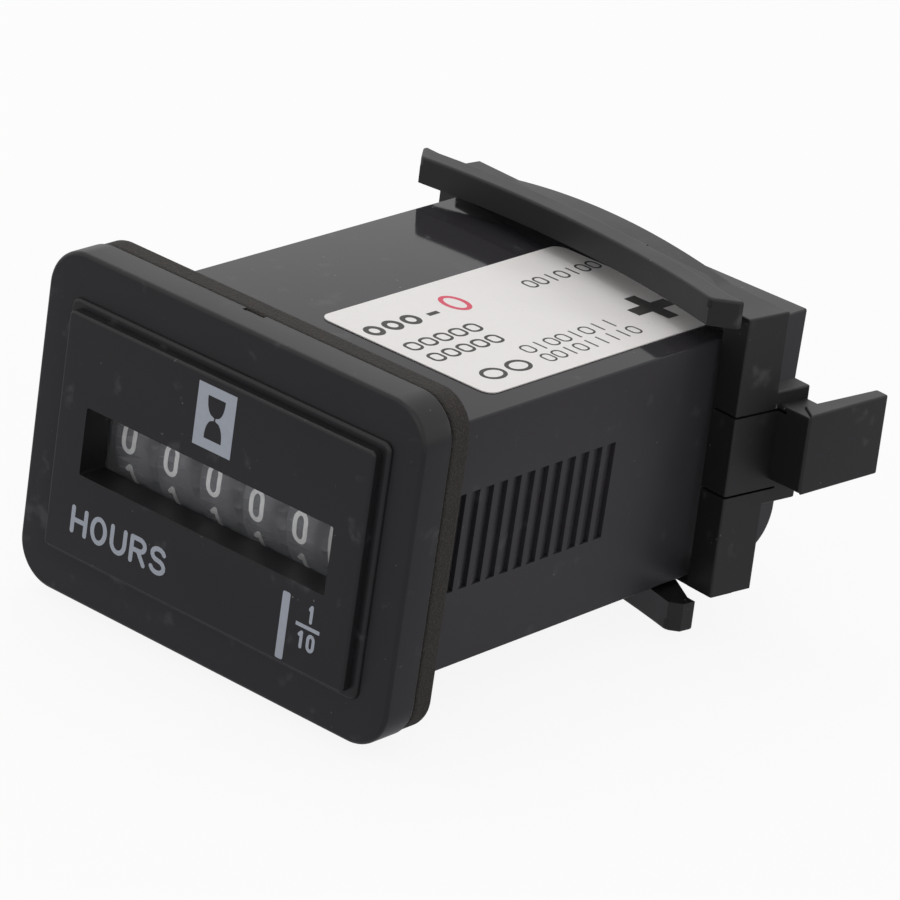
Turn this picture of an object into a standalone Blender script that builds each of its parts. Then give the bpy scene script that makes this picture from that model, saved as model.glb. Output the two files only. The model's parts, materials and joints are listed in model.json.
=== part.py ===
"""Panel hour meter with a six-wheel counter and a sliding mounting clip.

Metres, +Z up. X runs to the right seen from the front and Y to the rear. The origin is the
middle of the bezel's rear face, which is the plane of the panel that the meter is fitted in.
"""
import bpy
import bmesh
from math import cos, pi, radians, sin, tau
from mathutils import Matrix

# Clearances
FIT = 0.0003
GLUE = 0.00003
OVERRUN = 0.001
STEP = 0.0002

# Bezel, window and gasket
BEZEL_WIDTH = 0.0442
BEZEL_HEIGHT = 0.0324
BEZEL_THICKNESS = 0.00362
BEZEL_CORNER = 0.0040
BEZEL_EDGE = 0.0005
PANEL_WIDTH = 0.0360
PANEL_HEIGHT = 0.0226
PANEL_RISE = 0.00138
PANEL_FOOT = 0.0008
PANEL_FOOT_RISE = 0.0004
WINDOW_WIDTH = 0.0293
WINDOW_HEIGHT = 0.00645
WINDOW_Z = -0.00008
LENS_THICKNESS = 0.0005
LENS_BORDER = 0.0009
LENS_DEPTH = 0.0034
TONGUE_WIDTH = 0.0220
TONGUE_LENGTH = 0.0050
TONGUE_THICKNESS = 0.0011
GASKET_THICKNESS = 0.0024
GASKET_INSET = 0.0003
GATE_WIDTH = 0.0030
GATE_HEIGHT = 0.0004
GATE_X = -0.0016

# Case and rear cover
CASE_HALF_WIDTH = 0.01822
CASE_HEIGHT = 0.0240
CASE_LENGTH = 0.0548
CASE_Z = -0.000467
CASE_DRAFT = 0.00012
CASE_EDGE = 0.0004
CASE_SIDE_WALL = 0.0011
CASE_FLOOR = 0.0013
REAR_CORNER = 0.0040
RATCHET_TEETH = 12
RATCHET_PITCH = 0.001871
RATCHET_START = 0.00807
RATCHET_DEPTH = 0.00045
RATCHET_RAMP = 0.0012
RATCHET_TOP = 0.00444
RATCHET_BOTTOM = -0.00489
COVER_THICKNESS = 0.0020
COVER_RECESS = 0.0028
COVER_LEDGE = 0.0005
COVER_EDGE = 0.0006

# Rating label
LABEL_LEFT = -0.00456
LABEL_WIDTH = 0.02005
LABEL_REAR_GAP = 0.0089
LABEL_LENGTH = 0.0330
LABEL_CORNER = 0.0013
LABEL_THICKNESS = 0.0001

# Blade terminals
BLADE_WIDTH = 0.0063
BLADE_THICKNESS = 0.0008
BLADE_REACH = 0.0085
BLADE_INNER = 0.0030
BLADE_HOLE = 0.00085
BLADE_SPACING = 0.0160
BLADE_TIP = 0.0012
BLADE_HOLE_SHARE = 0.4

# Counter
WHEEL_COUNT = 6
WHEEL_PITCH = 0.00515
WHEEL_RADIUS = 0.0068
WHEEL_GAP = 0.0004
DRUM_WIDTH = 0.0034
SIDE_GEAR_WIDTH = 0.00065
TRANSFER_RADIUS = 0.0045
TRANSFER_TOOTH = 0.0004
SHAFT_RADIUS = 0.0008
GEAR_MODULE = 0.00056
GEAR_TEETH = 20
PINION_TEETH = 8
PINION_SHAFT_RADIUS = 0.0005
PLATE_THICKNESS = 0.0006
PLATE_X = 0.0162
PLATE_LENGTH = 0.0360
PLATE_HEIGHT = 0.0176
PLATE_CORNER = 0.0020

# Gear train from the stepping motor
TRAIN_MODULE = 0.0004
TRAIN_TEETH = 32
TRAIN_WIDTH = 0.0005
TRAIN_PINION_WIDTH = 0.0008
ARBOR_RADIUS = 0.0004
DRIVE_ANGLE = radians(18)
SECOND_ANGLE = radians(-8)
ROTOR_ANGLE = radians(0)
BRIDGE_X = 0.0120
BRIDGE_REACH = 0.0080
POST_RADIUS = 0.0012
POST_INSET = 0.0015
POST_SPREAD = 0.0045
MAGNET_RADIUS = 0.0022
MAGNET_WIDTH = 0.0016
ROTOR_AIR_GAP = 0.0005

# Stepping motor
STATOR_X = 0.0072
STATOR_THICKNESS = 0.0009
STATOR_LENGTH = 0.0160
STATOR_POLE = 0.0040
STATOR_LIMB = 0.0018
STATOR_WINDOW = 0.0026
BOBBIN_FLANGE = 0.0007
BOBBIN_FLANGE_SIZE = 0.0064
BOBBIN_WALL = 0.0004
COIL_DEPTH = 0.0012

# Circuit board
BOARD_WIDTH = 0.0200
BOARD_LENGTH = 0.0260
BOARD_THICKNESS = 0.0010
BOARD_X = -0.0058
BOARD_REAR_GAP = 0.0053
BOARD_Z = -0.0088
BOSS_RADIUS = 0.0014
BOSS_INSET = 0.0022
CHIP_SIZE = (0.0039, 0.0049, 0.0015)
CHIP_SHARE = 0.36
CHIP_LEAD_PITCH = 0.00127
CHIP_LEAD_REACH = 0.0010
CRYSTAL_RADIUS = 0.0010
CRYSTAL_LENGTH = 0.0060
CRYSTAL_SHARE = 0.12
CAPACITOR_RADIUS = 0.0031
CAPACITOR_HEIGHT = 0.0110
RESISTOR_RADIUS = 0.0016
RESISTOR_LENGTH = 0.0090
RESISTOR_SHARE = 0.45
LEAD_RADIUS = 0.0003
DIODE_RADIUS = 0.0012
DIODE_LENGTH = 0.0042
DIODE_SHARE = 0.40

# Mounting clip, in its own frame: x along its bow springs, y to the rear, z up
CLIP_LOCATION = (-0.00015, 0.04446, -0.00016)
CLIP_YAW = radians(-8.7)
CLIP_ROLL = radians(-1.7)
CLIP_HALF_WIDTH = 0.0225
CLIP_HALF_HEIGHT = 0.01427
CLIP_CROWN = 0.0012
CLIP_CROWN_SPAN = 0.0160
CLIP_DEPTH = 0.0049
CLIP_INNER_HALF_WIDTH = 0.01937
CLIP_INNER_HALF_HEIGHT = 0.01310
CLIP_CORNER_CUT = 0.0021
CLIP_WALL_END = 0.01295
CLIP_SETBACK = 0.0023
BOW_HALF_LENGTH = 0.02155
BOW_HEIGHT = 0.0027
BOW_TOP = 0.01612
BOW_THICKNESS = 0.0024
BOW_REACH = 0.0033
BOW_SAG = 0.0020
BOW_FACET = 0.0019
BOW_ROOT = 0.0060
SLIT_WIDTH = 0.00022
SLIT_TOP = 0.0047
SLIT_BOTTOM = -0.0031
SLIT_LENGTH = 0.0063
ROOT_DEPTH = 0.0040
ROOT_RELIEF = 0.0010
ROOT_TOP = 0.0083
ROOT_BOTTOM = -0.0046
LEVER_TOP = 0.0053
LEVER_BOTTOM = -0.0020
LEVER_OUT = 0.0264
LEVER_TIP_OUT = 0.0256
LEVER_LENGTH = 0.0115
LEVER_THICKNESS = 0.0022
LEVER_TIP_THICKNESS = 0.0015
LEVER_FILLET = 0.0018

# Places that follow from the sizes above
PANEL_FACE = -(BEZEL_THICKNESS + PANEL_RISE)
CASE_FRONT = FIT
CASE_REAR = CASE_FRONT + CASE_LENGTH
CASE_TOP = CASE_Z + CASE_HEIGHT / 2
CASE_BOTTOM = CASE_Z - CASE_HEIGHT / 2
INNER_HALF_WIDTH = CASE_HALF_WIDTH - CASE_SIDE_WALL
INNER_TOP = CASE_TOP - CASE_FLOOR
INNER_BOTTOM = CASE_BOTTOM + CASE_FLOOR
COVER_REAR = CASE_REAR - COVER_RECESS
COVER_FRONT = COVER_REAR - COVER_THICKNESS
LABEL_FRONT = CASE_REAR - LABEL_REAR_GAP - LABEL_LENGTH
BOARD_FRONT = COVER_FRONT - BOARD_REAR_GAP - BOARD_LENGTH
LENS_FRONT = PANEL_FACE + LENS_DEPTH
LENS_REAR = LENS_FRONT + LENS_THICKNESS
WHEEL_Y = LENS_REAR + FIT + WHEEL_RADIUS
WHEEL_Z = CASE_Z
PINION_DISTANCE = GEAR_MODULE * (GEAR_TEETH + PINION_TEETH) / 2
TRAIN_DISTANCE = TRAIN_MODULE * (TRAIN_TEETH + PINION_TEETH) / 2
SIDE_GEAR_X = DRUM_WIDTH / 2
WHEEL_NAMES = ("tenths", "units", "tens", "hundreds", "thousands", "ten_thousands")
FIRST_WHEEL_X = WHEEL_PITCH * (WHEEL_COUNT - 1) / 2


def place_from(centre, distance, angle):
    """The point at a distance and an angle from a centre, in the YZ plane."""
    return (centre[0] + distance * cos(angle), centre[1] + distance * sin(angle))


WHEEL_AXIS = (WHEEL_Y, WHEEL_Z)
PINION_AXIS = place_from(WHEEL_AXIS, PINION_DISTANCE, 0.0)
DRIVE_AXIS = place_from(WHEEL_AXIS, PINION_DISTANCE, DRIVE_ANGLE)
SECOND_AXIS = place_from(DRIVE_AXIS, TRAIN_DISTANCE, SECOND_ANGLE)
ROTOR_AXIS = place_from(SECOND_AXIS, TRAIN_DISTANCE, ROTOR_ANGLE)

for old_object in list(bpy.data.objects):
    bpy.data.objects.remove(old_object, do_unlink=True)

METER = bpy.data.collections.new("hour_meter")
CUTTERS = bpy.data.collections.new("cutters")
bpy.context.scene.collection.children.link(METER)
bpy.context.scene.collection.children.link(CUTTERS)


def material(name, colour, roughness, metallic=0.0):
    """A plain finish for one kind of piece."""
    made = bpy.data.materials.new(name)
    made.use_nodes = True
    shader = made.node_tree.nodes["Principled BSDF"]
    shader.inputs["Base Color"].default_value = (*colour, 1.0)
    shader.inputs["Roughness"].default_value = roughness
    shader.inputs["Metallic"].default_value = metallic
    return made


SATIN_BLACK = material("satin_black_plastic", (0.022, 0.022, 0.024), 0.45)
GLOSS_BLACK = material("gloss_black_plastic", (0.012, 0.012, 0.013), 0.15)
MATT_BLACK = material("matt_black_plastic", (0.030, 0.029, 0.030), 0.60)
FOAM = material("foam_rubber", (0.020, 0.016, 0.014), 0.95)
CLEAR = material("clear_plastic", (0.85, 0.87, 0.88), 0.05)
LABEL_WHITE = material("label_white", (0.78, 0.76, 0.74), 0.35)
WHEEL_GREY = material("wheel_grey_plastic", (0.10, 0.10, 0.11), 0.55)
WHEEL_WHITE = material("wheel_white_plastic", (0.75, 0.75, 0.74), 0.50)
ACETAL = material("natural_acetal", (0.72, 0.70, 0.64), 0.40)
STEEL = material("bright_steel", (0.55, 0.55, 0.56), 0.30, 1.0)
TINNED = material("tinned_brass", (0.66, 0.65, 0.62), 0.28, 1.0)
COPPER = material("enamelled_copper", (0.55, 0.22, 0.10), 0.35, 1.0)
BOARD_GREEN = material("board_green", (0.03, 0.16, 0.07), 0.45)
RESIN_BLACK = material("resin_black", (0.02, 0.02, 0.02), 0.50)
CERAMIC_BEIGE = material("ceramic_beige", (0.62, 0.52, 0.36), 0.55)


def keep(piece, collection):
    """Move a new object out of the scene's own collection into one of the two here."""
    for home in list(piece.users_collection):
        home.objects.unlink(piece)
    collection.objects.link(piece)
    piece.hide_render = collection is CUTTERS
    piece.display_type = 'WIRE' if collection is CUTTERS else 'TEXTURED'
    return piece


def block(name, x, y, z, collection=CUTTERS):
    """A box between two limits on each axis."""
    bpy.ops.mesh.primitive_cube_add(size=1.0)
    piece = bpy.context.active_object
    piece.name = name
    size = Matrix.Diagonal((x[1] - x[0], y[1] - y[0], z[1] - z[0], 1.0))
    middle = Matrix.Translation(((x[0] + x[1]) / 2, (y[0] + y[1]) / 2, (z[0] + z[1]) / 2))
    piece.data.transform(middle @ size)
    return keep(piece, collection)


def turned(name, radius, length, centre, axis="X", vertices=24, collection=CUTTERS):
    """A round rod of a given length about its centre, along one axis."""
    bpy.ops.mesh.primitive_cylinder_add(vertices=vertices, radius=radius, depth=length)
    piece = bpy.context.active_object
    piece.name = name
    turn = {"X": Matrix.Rotation(pi / 2, 4, 'Y'), "Y": Matrix.Rotation(pi / 2, 4, 'X'),
            "Z": Matrix.Identity(4)}[axis]
    piece.data.transform(Matrix.Translation(centre) @ turn)
    return keep(piece, collection)


# Where an outline's own two directions and its thickness point, for each way it can face
FACING = {
    "X": Matrix(((0, 0, 1, 0), (1, 0, 0, 0), (0, 1, 0, 0), (0, 0, 0, 1))),
    "Y": Matrix(((1, 0, 0, 0), (0, 0, -1, 0), (0, 1, 0, 0), (0, 0, 0, 1))),
    "Z": Matrix.Identity(4),
}


# Outlines are drawn this much larger, because a filled curve loses fine corners at real size
DRAWN_SCALE = 1000.0


def plate(name, outlines, faces, start, end, collection=CUTTERS):
    """A flat outline, with any holes after it, thick from start to end along one axis."""
    flat = bpy.data.curves.new(name, 'CURVE')
    flat.dimensions = '2D'
    flat.fill_mode = 'BOTH'
    flat.extrude = DRAWN_SCALE * (end - start) / 2
    for points in outlines:
        spline = flat.splines.new('POLY')
        spline.points.add(len(points) - 1)
        for point, (across, up) in zip(spline.points, points):
            point.co = (DRAWN_SCALE * across, DRAWN_SCALE * up, 0.0, 1.0)
        spline.use_cyclic_u = True
    curve = bpy.data.objects.new(name + "_outline", flat)
    bpy.context.scene.collection.objects.link(curve)
    bpy.context.view_layer.update()
    solid = bpy.data.meshes.new_from_object(curve.evaluated_get(bpy.context.evaluated_depsgraph_get()))
    bpy.data.objects.remove(curve, do_unlink=True)
    solid.transform(Matrix.Scale(1 / DRAWN_SCALE, 4))
    weld(solid)
    offset = {"X": (1, 0, 0), "Y": (0, 1, 0), "Z": (0, 0, 1)}[faces]
    middle = Matrix.Translation([part * (start + end) / 2 for part in offset])
    solid.transform(middle @ FACING[faces])
    piece = bpy.data.objects.new(name, solid)
    bpy.context.scene.collection.objects.link(piece)
    return keep(piece, collection)


def weld(mesh):
    """Close the seams of a mesh and turn its faces outwards."""
    work = bmesh.new()
    work.from_mesh(mesh)
    bmesh.ops.remove_doubles(work, verts=work.verts, dist=1e-7)
    bmesh.ops.recalc_face_normals(work, faces=work.faces)
    work.to_mesh(mesh)
    work.free()


def rounded(width, height, radius, centre=(0.0, 0.0), steps=5):
    """A rectangle with round corners, as points."""
    points = []
    for quarter, (side, end) in enumerate(((1, 1), (-1, 1), (-1, -1), (1, -1))):
        for step in range(steps + 1):
            angle = (quarter + step / steps) * pi / 2
            points.append((centre[0] + side * (width / 2 - radius) + radius * cos(angle),
                           centre[1] + end * (height / 2 - radius) + radius * sin(angle)))
    return points


def circle(radius, centre=(0.0, 0.0), steps=24):
    """A circle, as points."""
    return [(centre[0] + radius * cos(tau * step / steps), centre[1] + radius * sin(tau * step / steps))
            for step in range(steps)]


def boolean(piece, cutter, operation):
    modifier = piece.modifiers.new(operation.lower() + "_" + cutter.name, 'BOOLEAN')
    modifier.object = cutter
    modifier.operation = operation
    modifier.solver = 'EXACT'


def cut(piece, *cutters):
    for cutter in cutters:
        boolean(piece, cutter, 'DIFFERENCE')


def join(piece, *additions):
    for addition in additions:
        boolean(piece, addition, 'UNION')


def settle(piece):
    """Apply a piece's joins and cuts, so that it can be turned as one solid.

    They are worked out on an enlarged copy, where fine crossings stay apart.
    """
    enlarge = Matrix.Scale(DRAWN_SCALE, 4)
    worked_on = [piece] + [modifier.object for modifier in piece.modifiers]
    for item in worked_on:
        item.data.transform(enlarge)
    bpy.context.view_layer.update()
    solid = bpy.data.meshes.new_from_object(piece.evaluated_get(bpy.context.evaluated_depsgraph_get()))
    for item in worked_on:
        item.data.transform(enlarge.inverted())
    solid.transform(enlarge.inverted())
    piece.modifiers.clear()
    piece.data = solid


def bevel(piece, width, segments=2, angle=radians(50)):
    modifier = piece.modifiers.new("rounded_edges", 'BEVEL')
    modifier.width = width
    modifier.segments = segments
    modifier.limit_method = 'ANGLE'
    modifier.angle_limit = angle


def finish(piece, name, look):
    """Give a piece its name and material, and shade its round faces smooth."""
    piece.name = name
    keep(piece, METER)
    piece.data.materials.clear()
    piece.data.materials.append(look)
    piece.data.shade_smooth()
    piece.data.set_sharp_from_angle(angle=radians(35))
    return piece


# Gears
def gear_points(teeth, module, turn):
    """The outline of a gear with narrow straight-sided teeth, which run with clearance."""
    tip = module * (teeth / 2 + 0.8)
    root = module * (teeth / 2 - 1.05)
    points = []
    for tooth in range(teeth):
        for radius, share in ((root, -0.22), (tip, -0.10), (tip, 0.10), (root, 0.22)):
            angle = turn + (tooth + share) * tau / teeth
            points.append((radius * cos(angle), radius * sin(angle)))
    return points


def gear(name, teeth, module, turn, axis, start, end):
    outline = [(axis[0] + across, axis[1] + up) for across, up in gear_points(teeth, module, turn)]
    return plate(name, [outline], "X", start, end)


def meshed_turn(turn, teeth, direction, mate_teeth):
    """How far a mate is turned so that its gap faces the tooth nearest the line of centres."""
    lead = (turn - direction + pi / teeth) % (tau / teeth) - pi / teeth
    return direction + pi - lead * teeth / mate_teeth + pi / mate_teeth


def centre_origin(piece, point):
    """Put a moving piece's own origin on its joint's axis, with its mesh where it is."""
    piece.data.transform(Matrix.Translation([-part for part in point]))
    piece.location = point


def carry(parent_point, pieces):
    """Move cutters with a piece whose origin has moved to its axis."""
    for piece in pieces:
        centre_origin(piece, parent_point)


def build_bezel():
    """Front frame: flange, raised panel, window tunnel and two tongues, moulded in one."""
    flange = plate("bezel_flange", [rounded(BEZEL_WIDTH, BEZEL_HEIGHT, BEZEL_CORNER)], "Y",
                   -BEZEL_THICKNESS, 0.0)
    bevel(flange, BEZEL_EDGE, 3)
    foot_front = -(BEZEL_THICKNESS + PANEL_FOOT_RISE)
    foot = block("panel_foot", (-PANEL_WIDTH / 2 - PANEL_FOOT, PANEL_WIDTH / 2 + PANEL_FOOT),
                 (foot_front, -BEZEL_THICKNESS + OVERRUN),
                 (-PANEL_HEIGHT / 2 - PANEL_FOOT, PANEL_HEIGHT / 2 + PANEL_FOOT))
    bevel(foot, PANEL_FOOT_RISE, 1)
    panel = block("raised_panel", (-PANEL_WIDTH / 2, PANEL_WIDTH / 2),
                  (PANEL_FACE, -BEZEL_THICKNESS + OVERRUN), (-PANEL_HEIGHT / 2, PANEL_HEIGHT / 2))
    bevel(panel, PANEL_FOOT_RISE, 2)
    gate = block("moulding_gate", (GATE_X - GATE_WIDTH / 2, GATE_X + GATE_WIDTH / 2),
                 (-BEZEL_THICKNESS / 2, 0.0), (0.0, BEZEL_HEIGHT / 2 + GATE_HEIGHT))
    window = block("window_tunnel", (-WINDOW_WIDTH / 2, WINDOW_WIDTH / 2),
                   (PANEL_FACE - OVERRUN, OVERRUN),
                   (WINDOW_Z - WINDOW_HEIGHT / 2, WINDOW_Z + WINDOW_HEIGHT / 2))
    pocket_half = WINDOW_WIDTH / 2 + LENS_BORDER + FIT
    pocket = block("lens_pocket", (-pocket_half, pocket_half), (LENS_FRONT - FIT, OVERRUN),
                   (WINDOW_Z - WINDOW_HEIGHT / 2 - LENS_BORDER - FIT,
                    WINDOW_Z + WINDOW_HEIGHT / 2 + LENS_BORDER + FIT))
    tongues = []
    for side, wall in ((1, INNER_TOP), (-1, INNER_BOTTOM)):
        edges = sorted((wall - side * FIT, wall - side * (FIT + TONGUE_THICKNESS)))
        tongues.append(block("bezel_tongue", (-TONGUE_WIDTH / 2, TONGUE_WIDTH / 2),
                             (-BEZEL_THICKNESS / 2, TONGUE_LENGTH), edges))
    join(flange, foot, panel, gate)
    cut(flange, window, pocket)
    join(flange, *tongues)
    finish(flange, "bezel", SATIN_BLACK)


def build_lens():
    """Clear sheet behind the window, seated in the bezel's pocket."""
    half = WINDOW_WIDTH / 2 + LENS_BORDER
    lens = block("window_sheet", (-half, half), (LENS_FRONT, LENS_REAR),
                 (WINDOW_Z - WINDOW_HEIGHT / 2 - LENS_BORDER, WINDOW_Z + WINDOW_HEIGHT / 2 + LENS_BORDER))
    finish(lens, "window_lens", CLEAR)


def build_gasket():
    """Foam ring that seals the bezel to the panel."""
    outer = rounded(BEZEL_WIDTH - 2 * GASKET_INSET, BEZEL_HEIGHT - 2 * GASKET_INSET,
                    BEZEL_CORNER - GASKET_INSET)
    inner = rounded(2 * (CASE_HALF_WIDTH + FIT), CASE_HEIGHT + 2 * FIT, CASE_EDGE, (0.0, CASE_Z), 2)
    ring = plate("gasket_ring", [outer, inner], "Y", FIT, FIT + GASKET_THICKNESS)
    finish(ring, "panel_gasket", FOAM)


def ratchet_outline():
    """One side's row of saw teeth, seen from above, cut in from outside the case wall."""
    wall = CASE_HALF_WIDTH
    floor = wall - RATCHET_DEPTH
    outlines = []
    for tooth in range(RATCHET_TEETH):
        face = RATCHET_START + tooth * RATCHET_PITCH
        surface = wall - CASE_DRAFT * (face - CASE_FRONT) / CASE_LENGTH
        drop = surface - wall
        outlines.append([(surface, face - RATCHET_RAMP), (floor + drop, face), (wall + OVERRUN, face),
                         (wall + OVERRUN, face - RATCHET_RAMP)])
    return outlines


def build_case():
    """Deep open box behind the bezel, with its ratchet sides and a rounded lower rear edge."""
    case = block("case_box", (-CASE_HALF_WIDTH, CASE_HALF_WIDTH), (CASE_FRONT, CASE_REAR),
                 (CASE_BOTTOM, CASE_TOP))
    for vertex in case.data.vertices:
        if vertex.co.y > CASE_LENGTH / 2:
            vertex.co.x -= CASE_DRAFT if vertex.co.x > 0 else -CASE_DRAFT
    bevel(case, CASE_EDGE, 2)
    cavity = block("case_cavity", (-INNER_HALF_WIDTH, INNER_HALF_WIDTH),
                   (CASE_FRONT - OVERRUN, CASE_REAR + OVERRUN), (INNER_BOTTOM, INNER_TOP))
    ledge = block("cover_seat", (-INNER_HALF_WIDTH - COVER_LEDGE, INNER_HALF_WIDTH + COVER_LEDGE),
                  (COVER_FRONT - FIT, CASE_REAR + OVERRUN),
                  (INNER_BOTTOM - COVER_LEDGE, INNER_TOP + COVER_LEDGE))
    hub = (CASE_REAR - REAR_CORNER, CASE_BOTTOM + REAR_CORNER)
    arc = [(hub[0] + REAR_CORNER * cos(angle), hub[1] - REAR_CORNER * sin(angle))
           for angle in [step * pi / 16 for step in range(9)]]
    outside = [(hub[0], CASE_BOTTOM - OVERRUN), (CASE_REAR + OVERRUN, CASE_BOTTOM - OVERRUN),
               (CASE_REAR + OVERRUN, hub[1])]
    corner = plate("rear_corner", [arc + outside], "X", -CASE_HALF_WIDTH - OVERRUN,
                   CASE_HALF_WIDTH + OVERRUN)
    cut(case, cavity, ledge, corner)
    for outline in ratchet_outline():
        right = plate("ratchet_gap", [outline], "Z", RATCHET_BOTTOM, RATCHET_TOP)
        left = plate("ratchet_gap", [[(-across, along) for across, along in outline]], "Z",
                     RATCHET_BOTTOM, RATCHET_TOP)
        cut(case, right, left)
    for across, along in board_corners():
        boss = turned("board_boss", BOSS_RADIUS, BOARD_Z - FIT - INNER_BOTTOM + OVERRUN,
                      (across, along, (BOARD_Z - FIT + INNER_BOTTOM - OVERRUN) / 2), "Z", 12)
        join(case, boss)
    finish(case, "case", GLOSS_BLACK)


def build_rear_cover():
    """Plate pressed into the case's open end, with a slot for each terminal."""
    half = INNER_HALF_WIDTH + COVER_LEDGE - FIT
    bottom = INNER_BOTTOM - COVER_LEDGE + FIT
    cover = block("cover_plate", (-half, half), (COVER_FRONT, COVER_REAR),
                  (bottom, INNER_TOP + COVER_LEDGE - FIT))
    bevel(cover, COVER_EDGE, 2)
    for side in (-1, 1):
        middle = side * BLADE_SPACING / 2
        slot = block("terminal_slot", (middle - BLADE_WIDTH / 2 - FIT, middle + BLADE_WIDTH / 2 + FIT),
                     (COVER_FRONT - OVERRUN, COVER_REAR + OVERRUN),
                     (CASE_Z - BLADE_THICKNESS / 2 - FIT, CASE_Z + BLADE_THICKNESS / 2 + FIT))
        cut(cover, slot)
    finish(cover, "rear_cover", GLOSS_BLACK)


def build_label():
    """Paper label stuck on top of the case."""
    outline = rounded(LABEL_WIDTH, LABEL_LENGTH, LABEL_CORNER,
                      (LABEL_LEFT + LABEL_WIDTH / 2, LABEL_FRONT + LABEL_LENGTH / 2))
    label = plate("label_sheet", [outline], "Z", CASE_TOP + GLUE, CASE_TOP + GLUE + LABEL_THICKNESS)
    finish(label, "rating_label", LABEL_WHITE)


def build_terminals():
    """Two tinned blades that pass through the rear cover."""
    tip = COVER_REAR + BLADE_REACH
    for side, name in ((1, "positive_terminal"), (-1, "negative_terminal")):
        middle = side * BLADE_SPACING / 2
        left, right = middle - BLADE_WIDTH / 2, middle + BLADE_WIDTH / 2
        tail = COVER_FRONT - BLADE_INNER
        outline = [(left, tail), (right, tail), (right, tip - BLADE_TIP), (right - BLADE_TIP, tip),
                   (left + BLADE_TIP, tip), (left, tip - BLADE_TIP)]
        hole = circle(BLADE_HOLE, (middle, tip - BLADE_REACH * BLADE_HOLE_SHARE), 16)
        blade = plate("blade", [outline, hole], "Z", CASE_Z - BLADE_THICKNESS / 2,
                      CASE_Z + BLADE_THICKNESS / 2)
        finish(blade, name, TINNED)


def build_counter_frame():
    """Two side plates, the bridge plate of the gear train, and the two fixed shafts."""
    front = WHEEL_Y - WHEEL_RADIUS + OVERRUN
    middle = (front + PLATE_LENGTH / 2, WHEEL_Z)
    for side, name in ((1, "right_side_plate"), (-1, "left_side_plate")):
        holes = [circle(SHAFT_RADIUS + FIT, WHEEL_AXIS, 16)]
        if side > 0:
            holes += [circle(ARBOR_RADIUS + FIT, axis, 12) for axis in (DRIVE_AXIS, SECOND_AXIS, ROTOR_AXIS)]
        else:
            holes.append(circle(PINION_SHAFT_RADIUS + FIT, PINION_AXIS, 12))
        outline = rounded(PLATE_LENGTH, PLATE_HEIGHT, PLATE_CORNER, middle, 3)
        inner, outer = sorted((side * PLATE_X, side * (PLATE_X + PLATE_THICKNESS)))
        frame = plate("frame_plate", [outline] + holes, "X", inner, outer)
        finish(frame, name, STEEL)
    span = 2 * (PLATE_X + PLATE_THICKNESS)
    shaft = turned("wheel_rod", SHAFT_RADIUS, span, (0.0, *WHEEL_AXIS), vertices=16)
    finish(shaft, "wheel_shaft", STEEL)
    rod_end = BRIDGE_X + PLATE_THICKNESS
    rod = turned("pinion_rod", PINION_SHAFT_RADIUS, span / 2 + rod_end,
                 ((rod_end - span / 2) / 2, *PINION_AXIS), vertices=12)
    finish(rod, "pinion_shaft", STEEL)


def build_bridge():
    """Inner plate of the gear train, with posts to the right side plate and to the stator."""
    front = WHEEL_Y + WHEEL_RADIUS - 2 * OVERRUN
    rear = ROTOR_AXIS[0] + BRIDGE_REACH
    outline = rounded(rear - front, PLATE_HEIGHT, PLATE_CORNER, ((front + rear) / 2, WHEEL_Z), 3)
    holes = [circle(ARBOR_RADIUS + FIT, axis, 12) for axis in (DRIVE_AXIS, SECOND_AXIS, ROTOR_AXIS)]
    holes.append(circle(PINION_SHAFT_RADIUS + FIT, PINION_AXIS, 12))
    bridge = plate("bridge_outline", [outline] + holes, "X", BRIDGE_X, BRIDGE_X + PLATE_THICKNESS)
    relief = turned("wheel_relief", WHEEL_RADIUS + FIT, 4 * PLATE_THICKNESS, (BRIDGE_X, *WHEEL_AXIS),
                    vertices=48)
    cut(bridge, relief)
    for along, up, start, end in bridge_posts():
        post = turned("bridge_post", POST_RADIUS, end - start, ((start + end) / 2, along, up), vertices=12)
        join(bridge, post)
    finish(bridge, "gear_bridge", STEEL)


def bridge_posts():
    """Each post's place and its two ends: first those to the side plate, then to the stator."""
    low = WHEEL_Z - PLATE_HEIGHT / 2 + POST_INSET
    high = ROTOR_AXIS[1] + STATOR_POLE - POST_INSET
    spread = STATOR_LENGTH / 2 - POST_INSET
    outer = (BRIDGE_X + PLATE_THICKNESS / 2, PLATE_X - FIT)
    inner = (STATOR_X + STATOR_THICKNESS + FIT, BRIDGE_X + PLATE_THICKNESS / 2)
    return [(SECOND_AXIS[0] - POST_SPREAD, low, *outer), (ROTOR_AXIS[0] + POST_SPREAD, low, *outer),
            (ROTOR_AXIS[0] - spread, high, *inner), (ROTOR_AXIS[0] + spread, high, *inner)]


def number_wheel():
    """One number wheel about the origin: drum, side gear on its right and transfer disc on its left."""
    edge = SIDE_GEAR_X + SIDE_GEAR_WIDTH
    drum = turned("drum", WHEEL_RADIUS, DRUM_WIDTH, (0.0, 0.0, 0.0), vertices=40)
    ring = gear("side_gear", GEAR_TEETH, GEAR_MODULE, 0.0, (0.0, 0.0), 0.0, edge)
    disc = turned("transfer_disc", TRANSFER_RADIUS, edge, (-edge / 2, 0.0, 0.0), vertices=24)
    tooth = block("transfer_tooth", (STEP - edge, -STEP), (0.0, TRANSFER_RADIUS + TRANSFER_TOOTH),
                  (-GEAR_MODULE, GEAR_MODULE))
    bore = turned("wheel_bore", SHAFT_RADIUS + FIT, 3 * WHEEL_PITCH, (0.0, 0.0, 0.0), vertices=20)
    join(drum, ring, disc, tooth)
    cut(drum, bore)
    settle(drum)
    return drum


def copies(pattern, names, places, look_of):
    """Objects with a mesh like the pattern's, each at its own place; the pattern is used up."""
    for name, place in zip(names, places):
        piece = bpy.data.objects.new(name, pattern.data.copy())
        piece.location = place
        bpy.context.scene.collection.objects.link(piece)
        finish(piece, name, look_of(name))
    bpy.data.objects.remove(pattern, do_unlink=True)


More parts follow.
